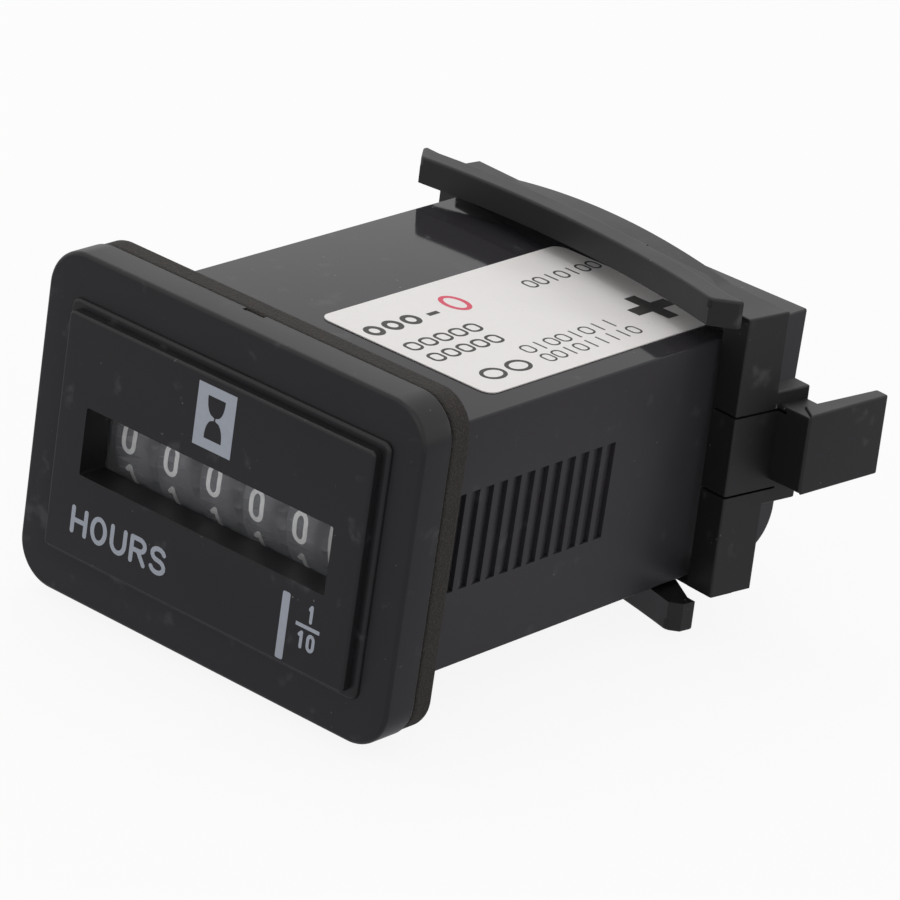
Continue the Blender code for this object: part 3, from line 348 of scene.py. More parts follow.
def plastic(name, colour, roughness, grain_mm, grain_depth, worn=(0.08, 0.08, 0.085, 1.0), dust=0.60,
            polished_above=None, shine=0.34):
    """Black moulded plastic: a fine skin, patches of different shine, dust specks and rubbed spots.

    Above a height in millimetres it may be polished. A lower dust level gives more specks."""
    finish = Finish(name, colour, roughness)
    finish.set("Specular IOR Level", shine)
    patches = finish.noise(9.0, 4.0)
    skin = finish.noise(grain_mm, 2.0)
    rubbed = finish.above(finish.noise(2.6, 6.0) + 0.25 * patches, 0.74, 0.90)
    dusty = finish.above(finish.noise(3.0, 3.0), dust, dust + 0.05)
    specks = finish.above(finish.noise(0.30, 0.0), 0.80, 0.84) * dusty
    lighter = tuple(1.25 * part for part in colour[:3]) + (1.0,)
    base = finish.mix(patches, colour, lighter)
    base = finish.mix(0.45 * rubbed, base, worn)
    finish.set("Base Color", finish.mix(0.5 * specks, base, DUST))
    if polished_above is not None:
        height = finish.node("ShaderNodeSeparateXYZ", {}, {"Vector": finish.place}, output="Z")
        polished = finish.above(height, (polished_above - 0.1) * MM, polished_above * MM)
        roughness = roughness + (POLISHED - roughness) * polished
    finish.set("Roughness", roughness * (0.78 + 0.44 * patches) + 0.10 * rubbed + 0.25 * specks)
    finish.relief(skin + 0.8 * specks, grain_depth)
    return finish.material


bezel_plastic = plastic("satin_black_plastic", BEZEL_BLACK, 0.36, 0.16, 0.0035)
low, high = in_mm("bezel")
BEZEL_HALF = (high.x - low.x) / 2
BEZEL_HALF_HEIGHT = -low.z
PANEL_FACE = low.y
FLANGE_FACE = PANEL_FACE + PANEL_RISE
bezel = slab("bezel_flange", (-BEZEL_HALF, FLANGE_FACE, -BEZEL_HALF_HEIGHT),
             (BEZEL_HALF, 0.0, BEZEL_HALF_HEIGHT))
round_edges(bezel, along(1), BEZEL_CORNER, CORNER_FACES)
round_edges(bezel, in_plane(1, FLANGE_FACE), BEZEL_EDGE)
round_edges(bezel, in_plane(1, 0.0), BEZEL_REAR_EDGE, 2)
foot_half = (PANEL_WIDTH / 2 + PANEL_FOOT, PANEL_HEIGHT / 2 + PANEL_FOOT)
foot_face = FLANGE_FACE - FOOT_RISE
foot = slab("panel_foot", (-foot_half[0], foot_face, -foot_half[1]), (foot_half[0], FOOT_BACK, foot_half[1]))
round_edges(foot, along(1), FOOT_CORNER)
round_edges(foot, in_plane(1, foot_face), FOOT_EDGE)
panel = slab("raised_panel", (-PANEL_WIDTH / 2, PANEL_FACE, -PANEL_HEIGHT / 2),
             (PANEL_WIDTH / 2, PANEL_BACK, PANEL_HEIGHT / 2))
round_edges(panel, along(1), PANEL_CORNER)
round_edges(panel, in_plane(1, PANEL_FACE), PANEL_EDGE)
notch_floor = BEZEL_HALF_HEIGHT - NOTCH_DEPTH
notch = slab("gate_notch", (NOTCH_X - NOTCH_WIDTH / 2, -NOTCH_LENGTH, notch_floor),
             (NOTCH_X + NOTCH_WIDTH / 2, THROUGH, BEZEL_HALF_HEIGHT + THROUGH))
round_edges(notch, in_plane(2, notch_floor), NOTCH_EDGE, 3)
window_low, window_high = WINDOW_Z - WINDOW_HEIGHT / 2, WINDOW_Z + WINDOW_HEIGHT / 2
tunnel = slab("window_tunnel", (-WINDOW_WIDTH / 2, PANEL_FACE - THROUGH, window_low),
              (WINDOW_WIDTH / 2, THROUGH, window_high))
round_edges(tunnel, along(1), WINDOW_CORNER, 3)
lens_low, lens_high = in_mm("window_lens")
pocket = slab("lens_pocket", (lens_low.x - FIT_PLAY, lens_low.y - FIT_PLAY, lens_low.z - FIT_PLAY),
              (lens_high.x + FIT_PLAY, THROUGH, lens_high.z + FIT_PLAY))
unite(bezel, foot, panel)
cut(bezel, tunnel, pocket, notch)
tongue_reach = high.y
case_low, case_high = in_mm("case")
CASE_FLOOR = 1.3
for wall, inward in ((case_high.z - CASE_FLOOR - FIT_PLAY, -TONGUE_THICKNESS),
                     (case_low.z + CASE_FLOOR + FIT_PLAY, TONGUE_THICKNESS)):
    heights = sorted((wall, wall + inward))
    tongue = slab("bezel_tongue", (-TONGUE_WIDTH / 2, FLANGE_FACE / 2, heights[0]),
                  (TONGUE_WIDTH / 2, tongue_reach, heights[1]))
    round_edges(tongue, in_plane(1, tongue_reach), TONGUE_EDGE, 3)
    unite(bezel, tongue)
seat(bezel, "bezel_front", bezel_plastic, "meter")
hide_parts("bezel")

# Print on the panel: pale ink laid on in one pass. It has the hourglass sign on its field, the word
# HOURS, and the bar and fraction that mark the tenths wheel. Letters are pen strokes of one width.
INK_THICKNESS = 0.03
INK_SUNK = 0.01
PRINT_SMOOTH = 20.0
INK_GREY = (0.39, 0.42, 0.485, 1.0)
HOURS_BOX = (-15.00, -8.98, -3.35, -6.27)
HOURS_PEN = 0.46
LETTER_GAP = 0.16
BAR_BOX = (10.15, -10.90, 11.02, -4.55)
NUMERATOR_BOX = (13.15, -6.45, 13.95, -4.70)
DIVIDER_BOX = (11.98, -7.07, 14.72, -6.72)
DENOMINATOR_BOX = (12.25, -9.05, 14.35, -7.35)
FRACTION_PEN = 0.33
SIGN_BOX = (-2.15, 4.60, 2.31, 10.50)
GLASS_HALF_WIDTH = 1.02
GLASS_HALF_HEIGHT = 2.0
GLASS_NECK = 0.09
GLASS_NECK_HALF_LENGTH = 0.12
GLASS_FULLNESS = 2.4
GLASS_STEPS = 12
BAR_CORNER = 0.2
CAP_FACES = 5
RING_LEAST_POINTS = 20


def ink(name, colour, patchy=0.25):
    """Screen-printed ink: a little uneven in cover, with a dull sheen."""
    finish = Finish(name, colour, 0.55)
    cover = finish.noise(0.5, 5.0)
    thin = tuple(0.80 * part for part in colour[:3]) + (1.0,)
    finish.set("Base Color", finish.mix(patchy + cover * 0.6, colour, thin))
    finish.set("Roughness", 0.48 + 0.2 * cover)
    finish.relief(finish.noise(0.12, 3.0), 0.004)
    return finish.material


def outline_shape(name, outlines, thickness):
    """A flat closed outline, with any holes after it, raised to a thickness. X runs across and Y up."""
    drawing = bpy.data.curves.new(name, 'CURVE')
    drawing.dimensions = '2D'
    drawing.fill_mode = 'BOTH'
    drawing.extrude = thickness / 2
    for points in outlines:
        spline = drawing.splines.new('POLY')
        spline.points.add(len(points) - 1)
        for point, (across, up) in zip(spline.points, points):
            point.co = (across, up, 0.0, 1.0)
        spline.use_cyclic_u = True
    piece = bpy.data.objects.new(name, drawing)
    bpy.context.scene.collection.objects.link(piece)
    alone(piece)
    bpy.ops.object.convert(target='MESH')
    bpy.ops.object.mode_set(mode='EDIT')
    bpy.ops.mesh.select_all(action='SELECT')
    bpy.ops.mesh.remove_doubles(threshold=0.0005)
    bpy.ops.mesh.normals_make_consistent(inside=False)
    bpy.ops.object.mode_set(mode='OBJECT')
    return piece


def box_outline(box):
    """The four corners of a box given by its left, lower, right and upper limits."""
    return [(box[0], box[1]), (box[2], box[1]), (box[2], box[3]), (box[0], box[3])]


def arc(centre, reach, start, end, count=10):
    """Points round part of an ellipse, from one angle to another in degrees."""
    angles = [radians(start + (end - start) * step / count) for step in range(count + 1)]
    return [(centre[0] + reach[0] * cos(angle), centre[1] + reach[1] * sin(angle)) for angle in angles]


RING = arc((0.5, 0.5), (0.5, 0.5), 0, 345, 23)
ZERO = arc((0.5, 0.70), (0.5, 0.30), 0, 180) + arc((0.5, 0.30), (0.5, 0.30), 180, 360)
LOWER_LOOP = arc((0.5, 0.30), (0.5, 0.30), 0, 345, 23)
SWEEP = [(0.82, 1.0), (0.48, 0.88), (0.20, 0.66), (0.02, 0.30)]
GLYPHS = {
    "0": [ZERO], "O": [RING], "I": [[(0.5, 0.0), (0.5, 1.0)]],
    "1": [[(0.18, 0.80), (0.58, 1.0)], [(0.58, 1.0), (0.58, 0.0)]],
    "2": [arc((0.5, 0.70), (0.5, 0.30), 165, -30) + [(0.0, 0.0)], [(0.0, 0.0), (1.0, 0.0)]],
    "3": [arc((0.45, 0.76), (0.5, 0.24), 150, -90), arc((0.45, 0.26), (0.55, 0.26), 90, -150)],
    "4": [[(0.75, 0.0), (0.75, 1.0)], [(0.75, 1.0), (0.0, 0.3)], [(0.0, 0.3), (1.0, 0.3)]],
    "5": [[(0.95, 1.0), (0.15, 1.0)], [(0.15, 1.0), (0.08, 0.52)],
          arc((0.42, 0.32), (0.58, 0.32), 130, -150)],
    "6": [LOWER_LOOP, SWEEP],
    "7": [[(0.0, 1.0), (1.0, 1.0)], [(1.0, 1.0), (0.35, 0.0)]],
    "8": [arc((0.5, 0.77), (0.42, 0.23), 0, 345, 23), arc((0.5, 0.27), (0.5, 0.27), 0, 345, 23)],
    "9": [[(1 - across, 1 - up) for across, up in path] for path in (LOWER_LOOP, SWEEP)],
    "H": [[(0.0, 0.0), (0.0, 1.0)], [(1.0, 0.0), (1.0, 1.0)], [(0.0, 0.5), (1.0, 0.5)]],
    "U": [[(0.0, 1.0)] + arc((0.5, 0.40), (0.5, 0.40), 180, 360) + [(1.0, 1.0)]],
    "R": [[(0.0, 0.0), (0.0, 1.0)], [(0.0, 1.0)] + arc((0.6, 0.75), (0.4, 0.25), 90, -90) + [(0.0, 0.5)],
          [(0.5, 0.5), (1.0, 0.0)]],
    "S": [arc((0.5, 0.76), (0.46, 0.24), 20, 270) + arc((0.5, 0.26), (0.5, 0.26), 90, -160)[1:]]}


def pen_outlines(points, width):
    """The outline of a pen's stroke with round ends, or the two outlines of a stroke that closes."""
    count = len(points)
    first, last = points[0], points[-1]
    reach = max(abs(across - first[0]) + abs(up - first[1]) for across, up in points)
    closed = count > RING_LEAST_POINTS and hypot(first[0] - last[0], first[1] - last[1]) < 0.5 * reach
    left, right, headings = [], [], []
    for place, (across, up) in enumerate(points):
        before = points[place - 1] if closed or place else first
        after = points[(place + 1) % count] if closed or place < count - 1 else last
        heading = Vector((after[0] - before[0], after[1] - before[1])).normalized()
        headings.append(heading)
        left.append((across - heading.y * width / 2, up + heading.x * width / 2))
        right.append((across + heading.y * width / 2, up - heading.x * width / 2))
    if closed:
        return [right, left]
    caps = []
    for (across, up), heading in ((last, headings[-1]), (first, -headings[0])):
        cap = []
        for step in range(1, CAP_FACES):
            turn = pi / 2 - pi * step / CAP_FACES
            spoke = Vector((heading.x * cos(turn) - heading.y * sin(turn),
                            heading.x * sin(turn) + heading.y * cos(turn)))
            cap.append((across + spoke.x * width / 2, up + spoke.y * width / 2))
        caps.append(cap)
    return [left + caps[0] + right[::-1] + caps[1]]


def glyph(character, box, pen, thickness):
    """One letter or number drawn with a pen so that its ink fills a box."""
    strokes = []
    for path in GLYPHS[character]:
        points = [(box[0] + pen / 2 + across * (box[2] - box[0] - pen),
                   box[1] + pen / 2 + up * (box[3] - box[1] - pen)) for across, up in path]
        strokes.append(outline_shape("stroke", pen_outlines(points, pen), thickness))
    return unite(*strokes)


def writing(words, box, pen, thickness):
    """A line of letters spread evenly over a box."""
    advance = (box[2] - box[0]) / (len(words) - LETTER_GAP)
    pieces = []
    for place, character in enumerate(words):
        left = box[0] + place * advance
        letter_box = (left, box[1], left + advance * (1 - LETTER_GAP), box[3])
        pieces.append(glyph(character, letter_box, pen, thickness))
    return pieces


def merge(name, pieces):
    """Several loose shapes as one piece."""
    alone(pieces[0])
    for piece in pieces[1:]:
        piece.select_set(True)
    bpy.ops.object.join()
    pieces[0].name = name
    return pieces[0]


def stand_on_panel(piece):
    """Turn a flat drawing upright and lay it on the panel's face."""
    lift = PANEL_FACE - INK_THICKNESS / 2 + INK_SUNK
    piece.data.transform(Matrix.Translation((0.0, lift, 0.0)) @ Matrix.Rotation(pi / 2, 4, 'X'))
    return piece


def bulb(upward):
    """One half of the hourglass: flat at its outer end and drawn in to the neck."""
    points = []
    for step in range(GLASS_STEPS + 1):
        rise = step / GLASS_STEPS
        width = GLASS_NECK + (GLASS_HALF_WIDTH - GLASS_NECK) * sqrt(1 - (1 - rise) ** GLASS_FULLNESS)
        height = GLASS_NECK_HALF_LENGTH + (GLASS_HALF_HEIGHT - GLASS_NECK_HALF_LENGTH) * rise
        points.append((width, upward * height))
    return points + [(-across, up) for across, up in reversed(points)]


panel_ink = ink("pale_panel_ink", INK_GREY)
middle = ((SIGN_BOX[0] + SIGN_BOX[2]) / 2, (SIGN_BOX[1] + SIGN_BOX[3]) / 2)
glass = bulb(1) + list(reversed(bulb(-1)))
glass = [(middle[0] + across, middle[1] + up) for across, up in glass]
sign = stand_on_panel(outline_shape("sign_field", [box_outline(SIGN_BOX), glass], INK_THICKNESS))
seat(sign, "hourglass_print", panel_ink, "meter", PRINT_SMOOTH)
hours = merge("hours_word", writing("HOURS", HOURS_BOX, HOURS_PEN, INK_THICKNESS))
seat(stand_on_panel(hours), "hours_print", panel_ink, "meter", PRINT_SMOOTH)
bar = outline_shape("bar", [box_outline(BAR_BOX)], INK_THICKNESS)
round_edges(bar, along(2), BAR_CORNER, 4)
tenths_mark = merge("tenths_mark", [
    bar, outline_shape("divider", [box_outline(DIVIDER_BOX)], INK_THICKNESS),
    glyph("1", NUMERATOR_BOX, FRACTION_PEN, INK_THICKNESS)]
    + writing("10", DENOMINATOR_BOX, FRACTION_PEN, INK_THICKNESS))
seat(stand_on_panel(tenths_mark), "tenths_print", panel_ink, "meter", PRINT_SMOOTH)

# Window sheet: a flat sheet of clear plastic in the pocket behind the bezel's window, in front of the
# wheels. It is slightly milky and a little scuffed.
WINDOW_CLEAR = (0.62, 0.63, 0.66, 1.0)
WINDOW_EDGE = 0.06


def every_edge(middle, direction):
    """A test that all edges meet."""
    return True


lens_finish = Finish("clear_window_plastic", WINDOW_CLEAR, 0.10)
scuffs = lens_finish.noise(1.4, 5.0)
lens_finish.set("Alpha", 0.06 + 0.08 * lens_finish.above(scuffs, 0.42, 0.80))
lens_finish.set("Roughness", 0.06 + 0.16 * scuffs)
lens_finish.relief(lens_finish.noise(3.0, 1.0), 0.01)
window_sheet = slab("sheet", lens_low, lens_high)
round_edges(window_sheet, every_edge, WINDOW_EDGE, 2)
seat(window_sheet, "window_sheet", lens_finish.material, "meter")
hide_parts("window_lens")

# Gasket: a ring die-cut from a sheet of dark closed-cell foam. It slides over the case, and the bezel
# squeezes it against the panel, so that it bulges a little all round.
GASKET_CORNER = 3.6
GASKET_EDGE = 0.35
GASKET_BULGE = 0.1
FOAM_CELL = 0.22
FOAM_BROWN = (0.017, 0.0145, 0.0125, 1.0)
FOAM_PALE = (0.048, 0.041, 0.035, 1.0)
foam = Finish("closed_cell_foam", FOAM_BROWN, 0.92)
cells = foam.node("ShaderNodeTexVoronoi", {"feature": 'F1'},
                  {"Vector": foam.place, "Scale": 1 / (FOAM_CELL * MM)}, output="Distance")
clumps = foam.noise(1.1, 4.0)
foam.set("Base Color", foam.mix(foam.above(cells, 0.15, 0.75) * clumps, FOAM_BROWN, FOAM_PALE))
foam.set("Roughness", 0.85 + 0.12 * clumps)
foam.relief(cells + 0.6 * clumps, 0.08)
gasket_low, gasket_high = in_mm("panel_gasket")
bulge = Vector((GASKET_BULGE, 0.0, GASKET_BULGE))
gasket = slab("ring", gasket_low - bulge, gasket_high + bulge)
round_edges(gasket, along(1), GASKET_CORNER, CORNER_FACES)
round_edges(gasket, lambda middle, direction: abs(direction.y) < 0.001, GASKET_EDGE, 3)
throat = slab("ring_hole", (case_low.x - FIT_PLAY, gasket_low.y - THROUGH, case_low.z - FIT_PLAY),
              (case_high.x + FIT_PLAY, gasket_high.y + THROUGH, case_high.z + FIT_PLAY))
cut(gasket, throat)
seat(gasket, "foam_gasket", foam.material, "meter")
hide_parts("panel_gasket")

# Case: a deep box of glossy black plastic, open at the back, with saw-tooth grooves down both sides
# that the clip's pawls catch in. Its lower rear edge is rounded over.
CASE_DRAFT = 0.12
CASE_EDGE = 0.2
SIDE_WALL = 1.1
REAR_CORNER = 4.0
REAR_CORNER_STEPS = 24
GROOVES = 12
GROOVE_PITCH = 1.871
FIRST_GROOVE = 8.07
GROOVE_DEPTH = 0.45
GROOVE_RAMP = 1.2
GROOVE_TOP = 4.44
GROOVE_BOTTOM = -4.89
COVER_LEDGE = 0.5
LEDGE_CORNER = 0.4
BOSS_RADIUS = 1.4
BOSS_SIDES = 32
BOSS_SUNK = 0.5
BOARD_SUPPORTS = ((-12.8, 21.2), (-12.8, 42.8), (2.8, 21.2), (2.8, 42.8))
CASE_BLACK = (0.0300, 0.0278, 0.0315, 1.0)


def board_boss(centre, length):
    """A round upright boss for one of the board's corners to stand on."""
    bpy.ops.mesh.primitive_cylinder_add(vertices=BOSS_SIDES, radius=BOSS_RADIUS, depth=length,
                                        location=centre)
    piece = alone(bpy.context.active_object)
    bpy.ops.object.transform_apply(location=True, rotation=True, scale=True)
    piece.name = "board_boss"
    return piece


case_plastic = plastic("gloss_black_plastic", CASE_BLACK, 0.40, 0.30, 0.0008,
                       polished_above=case_high.z - CASE_EDGE / 2, shine=0.24)
case = slab("case_box", case_low, case_high)
case_middle = (case_low.y + case_high.y) / 2
for vertex in case.data.vertices:
    if vertex.co.y > case_middle:
        vertex.co.x -= CASE_DRAFT if vertex.co.x > 0 else -CASE_DRAFT
round_edges(case, lambda middle, direction: abs(middle.y - case_high.y) > 0.01, CASE_EDGE)
inner_half = case_high.x - SIDE_WALL
inner_low, inner_high = case_low.z + CASE_FLOOR, case_high.z - CASE_FLOOR
cover_low, cover_high = in_mm("rear_cover")
behind, below = case_high.y + THROUGH, case_low.z - THROUGH
cavity = slab("case_cavity", (-inner_half, case_low.y - THROUGH, inner_low), (inner_half, behind, inner_high))
ledge = slab("cover_seat", (-inner_half - COVER_LEDGE, cover_low.y - FIT_PLAY, inner_low - COVER_LEDGE),
             (inner_half + COVER_LEDGE, behind, inner_high + COVER_LEDGE))
round_edges(ledge, along(1), LEDGE_CORNER, 4)
hub = (case_high.y - REAR_CORNER, case_low.z + REAR_CORNER)
turns = [step * pi / (2 * REAR_CORNER_STEPS) for step in range(REAR_CORNER_STEPS + 1)]
waste = [(hub[0] + REAR_CORNER * cos(turn), hub[1] - REAR_CORNER * sin(turn)) for turn in turns]
waste += [(hub[0], below), (behind, below), (behind, hub[1])]
corner = outline_shape("rear_corner", [waste], 2 * case_high.x + 2 * THROUGH)
side_view = Matrix(((0, 0, 1, 0), (1, 0, 0, 0), (0, 1, 0, 0), (0, 0, 0, 1)))
corner.data.transform(side_view)
cut(case, cavity, ledge, corner)
for side in (1, -1):
    for groove in range(GROOVES):
        face = FIRST_GROOVE + groove * GROOVE_PITCH
        wall = case_high.x - CASE_DRAFT * (face - case_low.y) / (case_high.y - case_low.y)
        outline = [(side * across, back) for across, back in (
            (wall, face - GROOVE_RAMP), (wall - GROOVE_DEPTH, face),
            (wall + THROUGH, face), (wall + THROUGH, face - GROOVE_RAMP))]
        tooth = outline_shape("groove", [outline], GROOVE_TOP - GROOVE_BOTTOM)
        tooth.data.transform(Matrix.Translation((0.0, 0.0, (GROOVE_TOP + GROOVE_BOTTOM) / 2)))
        cut(case, tooth)
boss_top = in_mm("circuit_board")[0].z - FIT_PLAY
boss_foot = inner_low - BOSS_SUNK
for across, back in BOARD_SUPPORTS:
    unite(case, board_boss((across, back, (boss_top + boss_foot) / 2), boss_top - boss_foot))
seat(case, "case_shell", case_plastic, "meter")
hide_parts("case")

# Rear cover: a plate of the same black plastic pressed into the case's open end. Each blade comes
# out through its own slot, and a plus and a minus are moulded above them.
COVER_CORNER = 0.6
COVER_EDGE = 0.3
SIGN_SIZE = 2.2
SIGN_STROKE = 0.5
SIGN_RISE = 0.25
SIGN_SUNK = 0.5
SIGN_EDGE = 0.1
SIGN_Z = 5.2
cover = slab("cover_plate", cover_low, cover_high)
round_edges(cover, along(1), COVER_CORNER)
round_edges(cover, in_plane(1, cover_high.y), COVER_EDGE)
for name, plus in (("positive_terminal", True), ("negative_terminal", False)):
    blade_low, blade_high = in_mm(name)
    cut(cover, slab("blade_slot", (blade_low.x - FIT_PLAY, cover_low.y - THROUGH, blade_low.z - FIT_PLAY),
                    (blade_high.x + FIT_PLAY, cover_high.y + THROUGH, blade_high.z + FIT_PLAY)))
    across = (blade_low.x + blade_high.x) / 2
    strokes = [(SIGN_SIZE, SIGN_STROKE)] + ([(SIGN_STROKE, SIGN_SIZE)] if plus else [])
    for width, height in strokes:
        stroke = slab("moulded_sign", (across - width / 2, cover_high.y - SIGN_SUNK, SIGN_Z - height / 2),
                      (across + width / 2, cover_high.y + SIGN_RISE, SIGN_Z + height / 2))
        round_edges(stroke, in_plane(1, cover_high.y + SIGN_RISE), SIGN_EDGE, 2)
        unite(cover, stroke)
seat(cover, "rear_plate", case_plastic, "meter")
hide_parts("rear_cover")

# Rating label: a glossy white paper label stuck to the top of the case. Its print is left as rows of
# plain rings and strokes with one red ring, and the polarity sign by the positive blade.
LABEL_OVERLAP = (0.05, 0.36, 0.0)
LABEL_CORNER = 1.2
LABEL_INK = (0.040, 0.038, 0.036, 1.0)
LABEL_RED = (0.85, 0.10, 0.17, 1.0)
LABEL_INK_THICKNESS = 0.02
LABEL_INK_SUNK = 0.005
PAPER_WHITE = (0.95, 0.925, 0.91, 1.0)
PAPER_DULL = (0.88, 0.85, 0.83, 1.0)
PLUS_CENTRE = (10.15, 41.9)
PLUS_ARM = 2.65
PLUS_HALF_STROKE = 0.75
PRINT_ROWS = (
    ("OOO", (-0.70, 13.7, 1.40, 20.7), 0.52), ("00000", (3.70, 14.3, 5.50, 24.1), 0.30),
    ("00000", (6.45, 14.3, 8.25, 23.8), 0.30), ("OO", (11.4, 15.3, 13.7, 21.6), 0.40),
    ("0I00I0II", (9.70, 23.2, 11.40, 36.0), 0.20), ("00I0IIII0", (11.95, 23.4, 13.65, 36.7), 0.20),
    ("00I0I00", (-0.40, 35.5, 1.35, 45.9), 0.22))
DASH_BOX = (0.15, 21.9, 0.70, 23.3)
RED_BOX = (-1.90, 25.0, 1.60, 27.6)
RED_PEN = 0.48

paper = Finish("glossy_label_paper", PAPER_WHITE, 0.28)
fibres = paper.noise(0.6, 6.0)
yellowed = paper.noise(8.0, 3.0)
paper.set("Base Color", paper.mix(0.5 * fibres + 0.4 * yellowed, PAPER_WHITE, PAPER_DULL))
paper.set("Roughness", 0.22 + 0.20 * fibres)
paper.relief(paper.noise(5.0, 2.0) + 0.02 * fibres, 0.10)
label_low, label_high = in_mm("rating_label")
label = slab("label_sheet", label_low - Vector(LABEL_OVERLAP), label_high)
round_edges(label, along(2), LABEL_CORNER, 6)
seat(label, "rating_label_sheet", paper.material, "meter")
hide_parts("rating_label")


def reading_back(box):
    """A box on the label as a line's own box: it reads to the rear with its top to the left."""
    return (box[1], -box[2], box[3], -box[0])


def lay_on_label(piece):
    """Turn a flat drawing so that it reads to the rear, and lift it on to the label's face."""
    lift = Matrix.Translation((0.0, 0.0, label_high.z + LABEL_INK_THICKNESS / 2 - LABEL_INK_SUNK))
    piece.data.transform(lift @ Matrix.Rotation(pi / 2, 4, 'Z'))
    return piece


arm, half = PLUS_ARM, PLUS_HALF_STROKE
plus_outline = [(half, arm), (-half, arm), (-half, half), (-arm, half), (-arm, -half), (-half, -half),
                (-half, -arm), (half, -arm), (half, -half), (arm, -half), (arm, half), (half, half)]
plus_outline = [(PLUS_CENTRE[1] + across, up - PLUS_CENTRE[0]) for across, up in plus_outline]
black_ink = ink("black_label_ink", LABEL_INK)
red_ink = ink("red_label_ink", LABEL_RED)
dark_print = [outline_shape("plus", [plus_outline], LABEL_INK_THICKNESS),
              outline_shape("dash", [box_outline(reading_back(DASH_BOX))], LABEL_INK_THICKNESS)]
for pattern, box, pen in PRINT_ROWS:
    dark_print += writing(pattern, reading_back(box), pen, LABEL_INK_THICKNESS)
dark_print = lay_on_label(merge("dark_print", dark_print))
seat(dark_print, "label_print", black_ink, "meter", PRINT_SMOOTH)
red_print = lay_on_label(glyph("O", reading_back(RED_BOX), RED_PEN, LABEL_INK_THICKNESS))
seat(red_print, "label_red_print", red_ink, "meter", PRINT_SMOOTH)

# Blade terminals: two flat tongues stamped from tinned brass, with a hole and chamfered corners. Each
# is pushed through its slot in the rear cover. They keep the CAD model's shape.
TIN_BRIGHT = (0.70, 0.69, 0.66, 1.0)
TIN_STAINED = (0.50, 0.45, 0.36, 1.0)
tinned = Finish("tinned_brass", TIN_BRIGHT, 0.28, 1.0)
stains = tinned.noise(1.2, 5.0)
tinned.set("Base Color", tinned.mix(stains, TIN_BRIGHT, TIN_STAINED))
tinned.set("Roughness", 0.20 + 0.25 * stains)
tinned.relief(tinned.noise(0.15, 3.0), 0.006)
for name in ("positive_terminal", "negative_terminal"):
    frame["nodes"][name].data.materials.clear()
    frame["nodes"][name].data.materials.append(tinned.material)

# Mounting clip: one matt black moulding that slides along the case. Its bow springs press on the
# panel's rear, and a pawl with a finger lever on each side catches in the grooves.
CLIP_PLACE = (-0.15, 44.46, -0.16)
CLIP_TURN = (0.0, radians(-1.7), radians(-8.7))
RING_HALF_WIDTH = 22.5
RING_HALF_HEIGHT = 14.27
RING_CROWN = 1.2
RING_CROWN_SPAN = 16.0
CROWN_SUNK = 0.2
CURVE_STEPS = 16
RING_DEPTH = 5.1
THROAT_HALF_WIDTH = 19.37
THROAT_HALF_HEIGHT = 13.10
CORNER_CUT = 2.1
WALL_END = 12.95
CORNER_SETBACK = 2.3
BOW_HALF_LENGTH = 21.55
BOW_OVERHANG = 0.75
BOW_FACET_ROUND = 0.5
LOWER_BOW_DROP = 0.25
LOWER_BOW_FACET = 1.0
WEB_TOP = 15.2
ROOT_TOP = 15.35
BOW_TOP = 16.12
BOW_HEIGHT = 2.7
BOW_THICKNESS = 2.4
BOW_REACH = 3.3
BOW_SAG = 2.0
BOW_FACET = 1.9
BOW_EDGE = 0.25
BOW_ROOT = 6.0
BOW_JOINED = 14.0
BOW_JOIN_DEPTH = 2.5
SIDE_SETBACK_START = 4.8
PAWL_SLITS = (4.7, -3.1)
SLIT_WIDTH = 0.22
SLIT_LENGTH = 6.3
HEEL_DEPTH = 4.0
HEEL_INSET = 1.0
HEEL_TOP = 6.5
HEEL_BOTTOM = -4.6
SHOULDER_SUNK = 0.2
SHOULDER_FRONT_INSET = 0.05
SHOULDER_REAR_INSET = 0.35
LEVER_TOP = 5.45
LEVER_BOTTOM = -2.35
LEVER_OUT = 26.4
LEVER_TIP_OUT = 25.6
LEVER_LENGTH = 11.2
LEVER_ROOT_OUT = 0.5
LEVER_ROOT_IN = 1.8
LEVER_THICKNESS = 2.2
LEVER_TIP_THICKNESS = 1.5
CLIP_EDGE = 0.18
CLIP_BLACK = (0.0080, 0.0074, 0.0078, 1.0)
CLIP_WORN = (0.085, 0.082, 0.080, 1.0)

clip_plastic = plastic("matt_black_plastic", CLIP_BLACK, 0.46, 0.45, 0.008, CLIP_WORN, 0.57, shine=0.42)


def arch(side):
    """The low arch of the ring's top or bottom wall."""
    points = []
    for step in range(2 * CURVE_STEPS + 1):
        share = 1 - step / CURVE_STEPS
        rise = (RING_CROWN + CROWN_SUNK) * (1 - share ** 2)
        points.append((RING_CROWN_SPAN * share, side * (RING_HALF_HEIGHT - CROWN_SUNK + rise)))
    foot = side * (RING_HALF_HEIGHT - 2 * CROWN_SUNK)
    return points + [(-RING_CROWN_SPAN, foot), (RING_CROWN_SPAN, foot)]


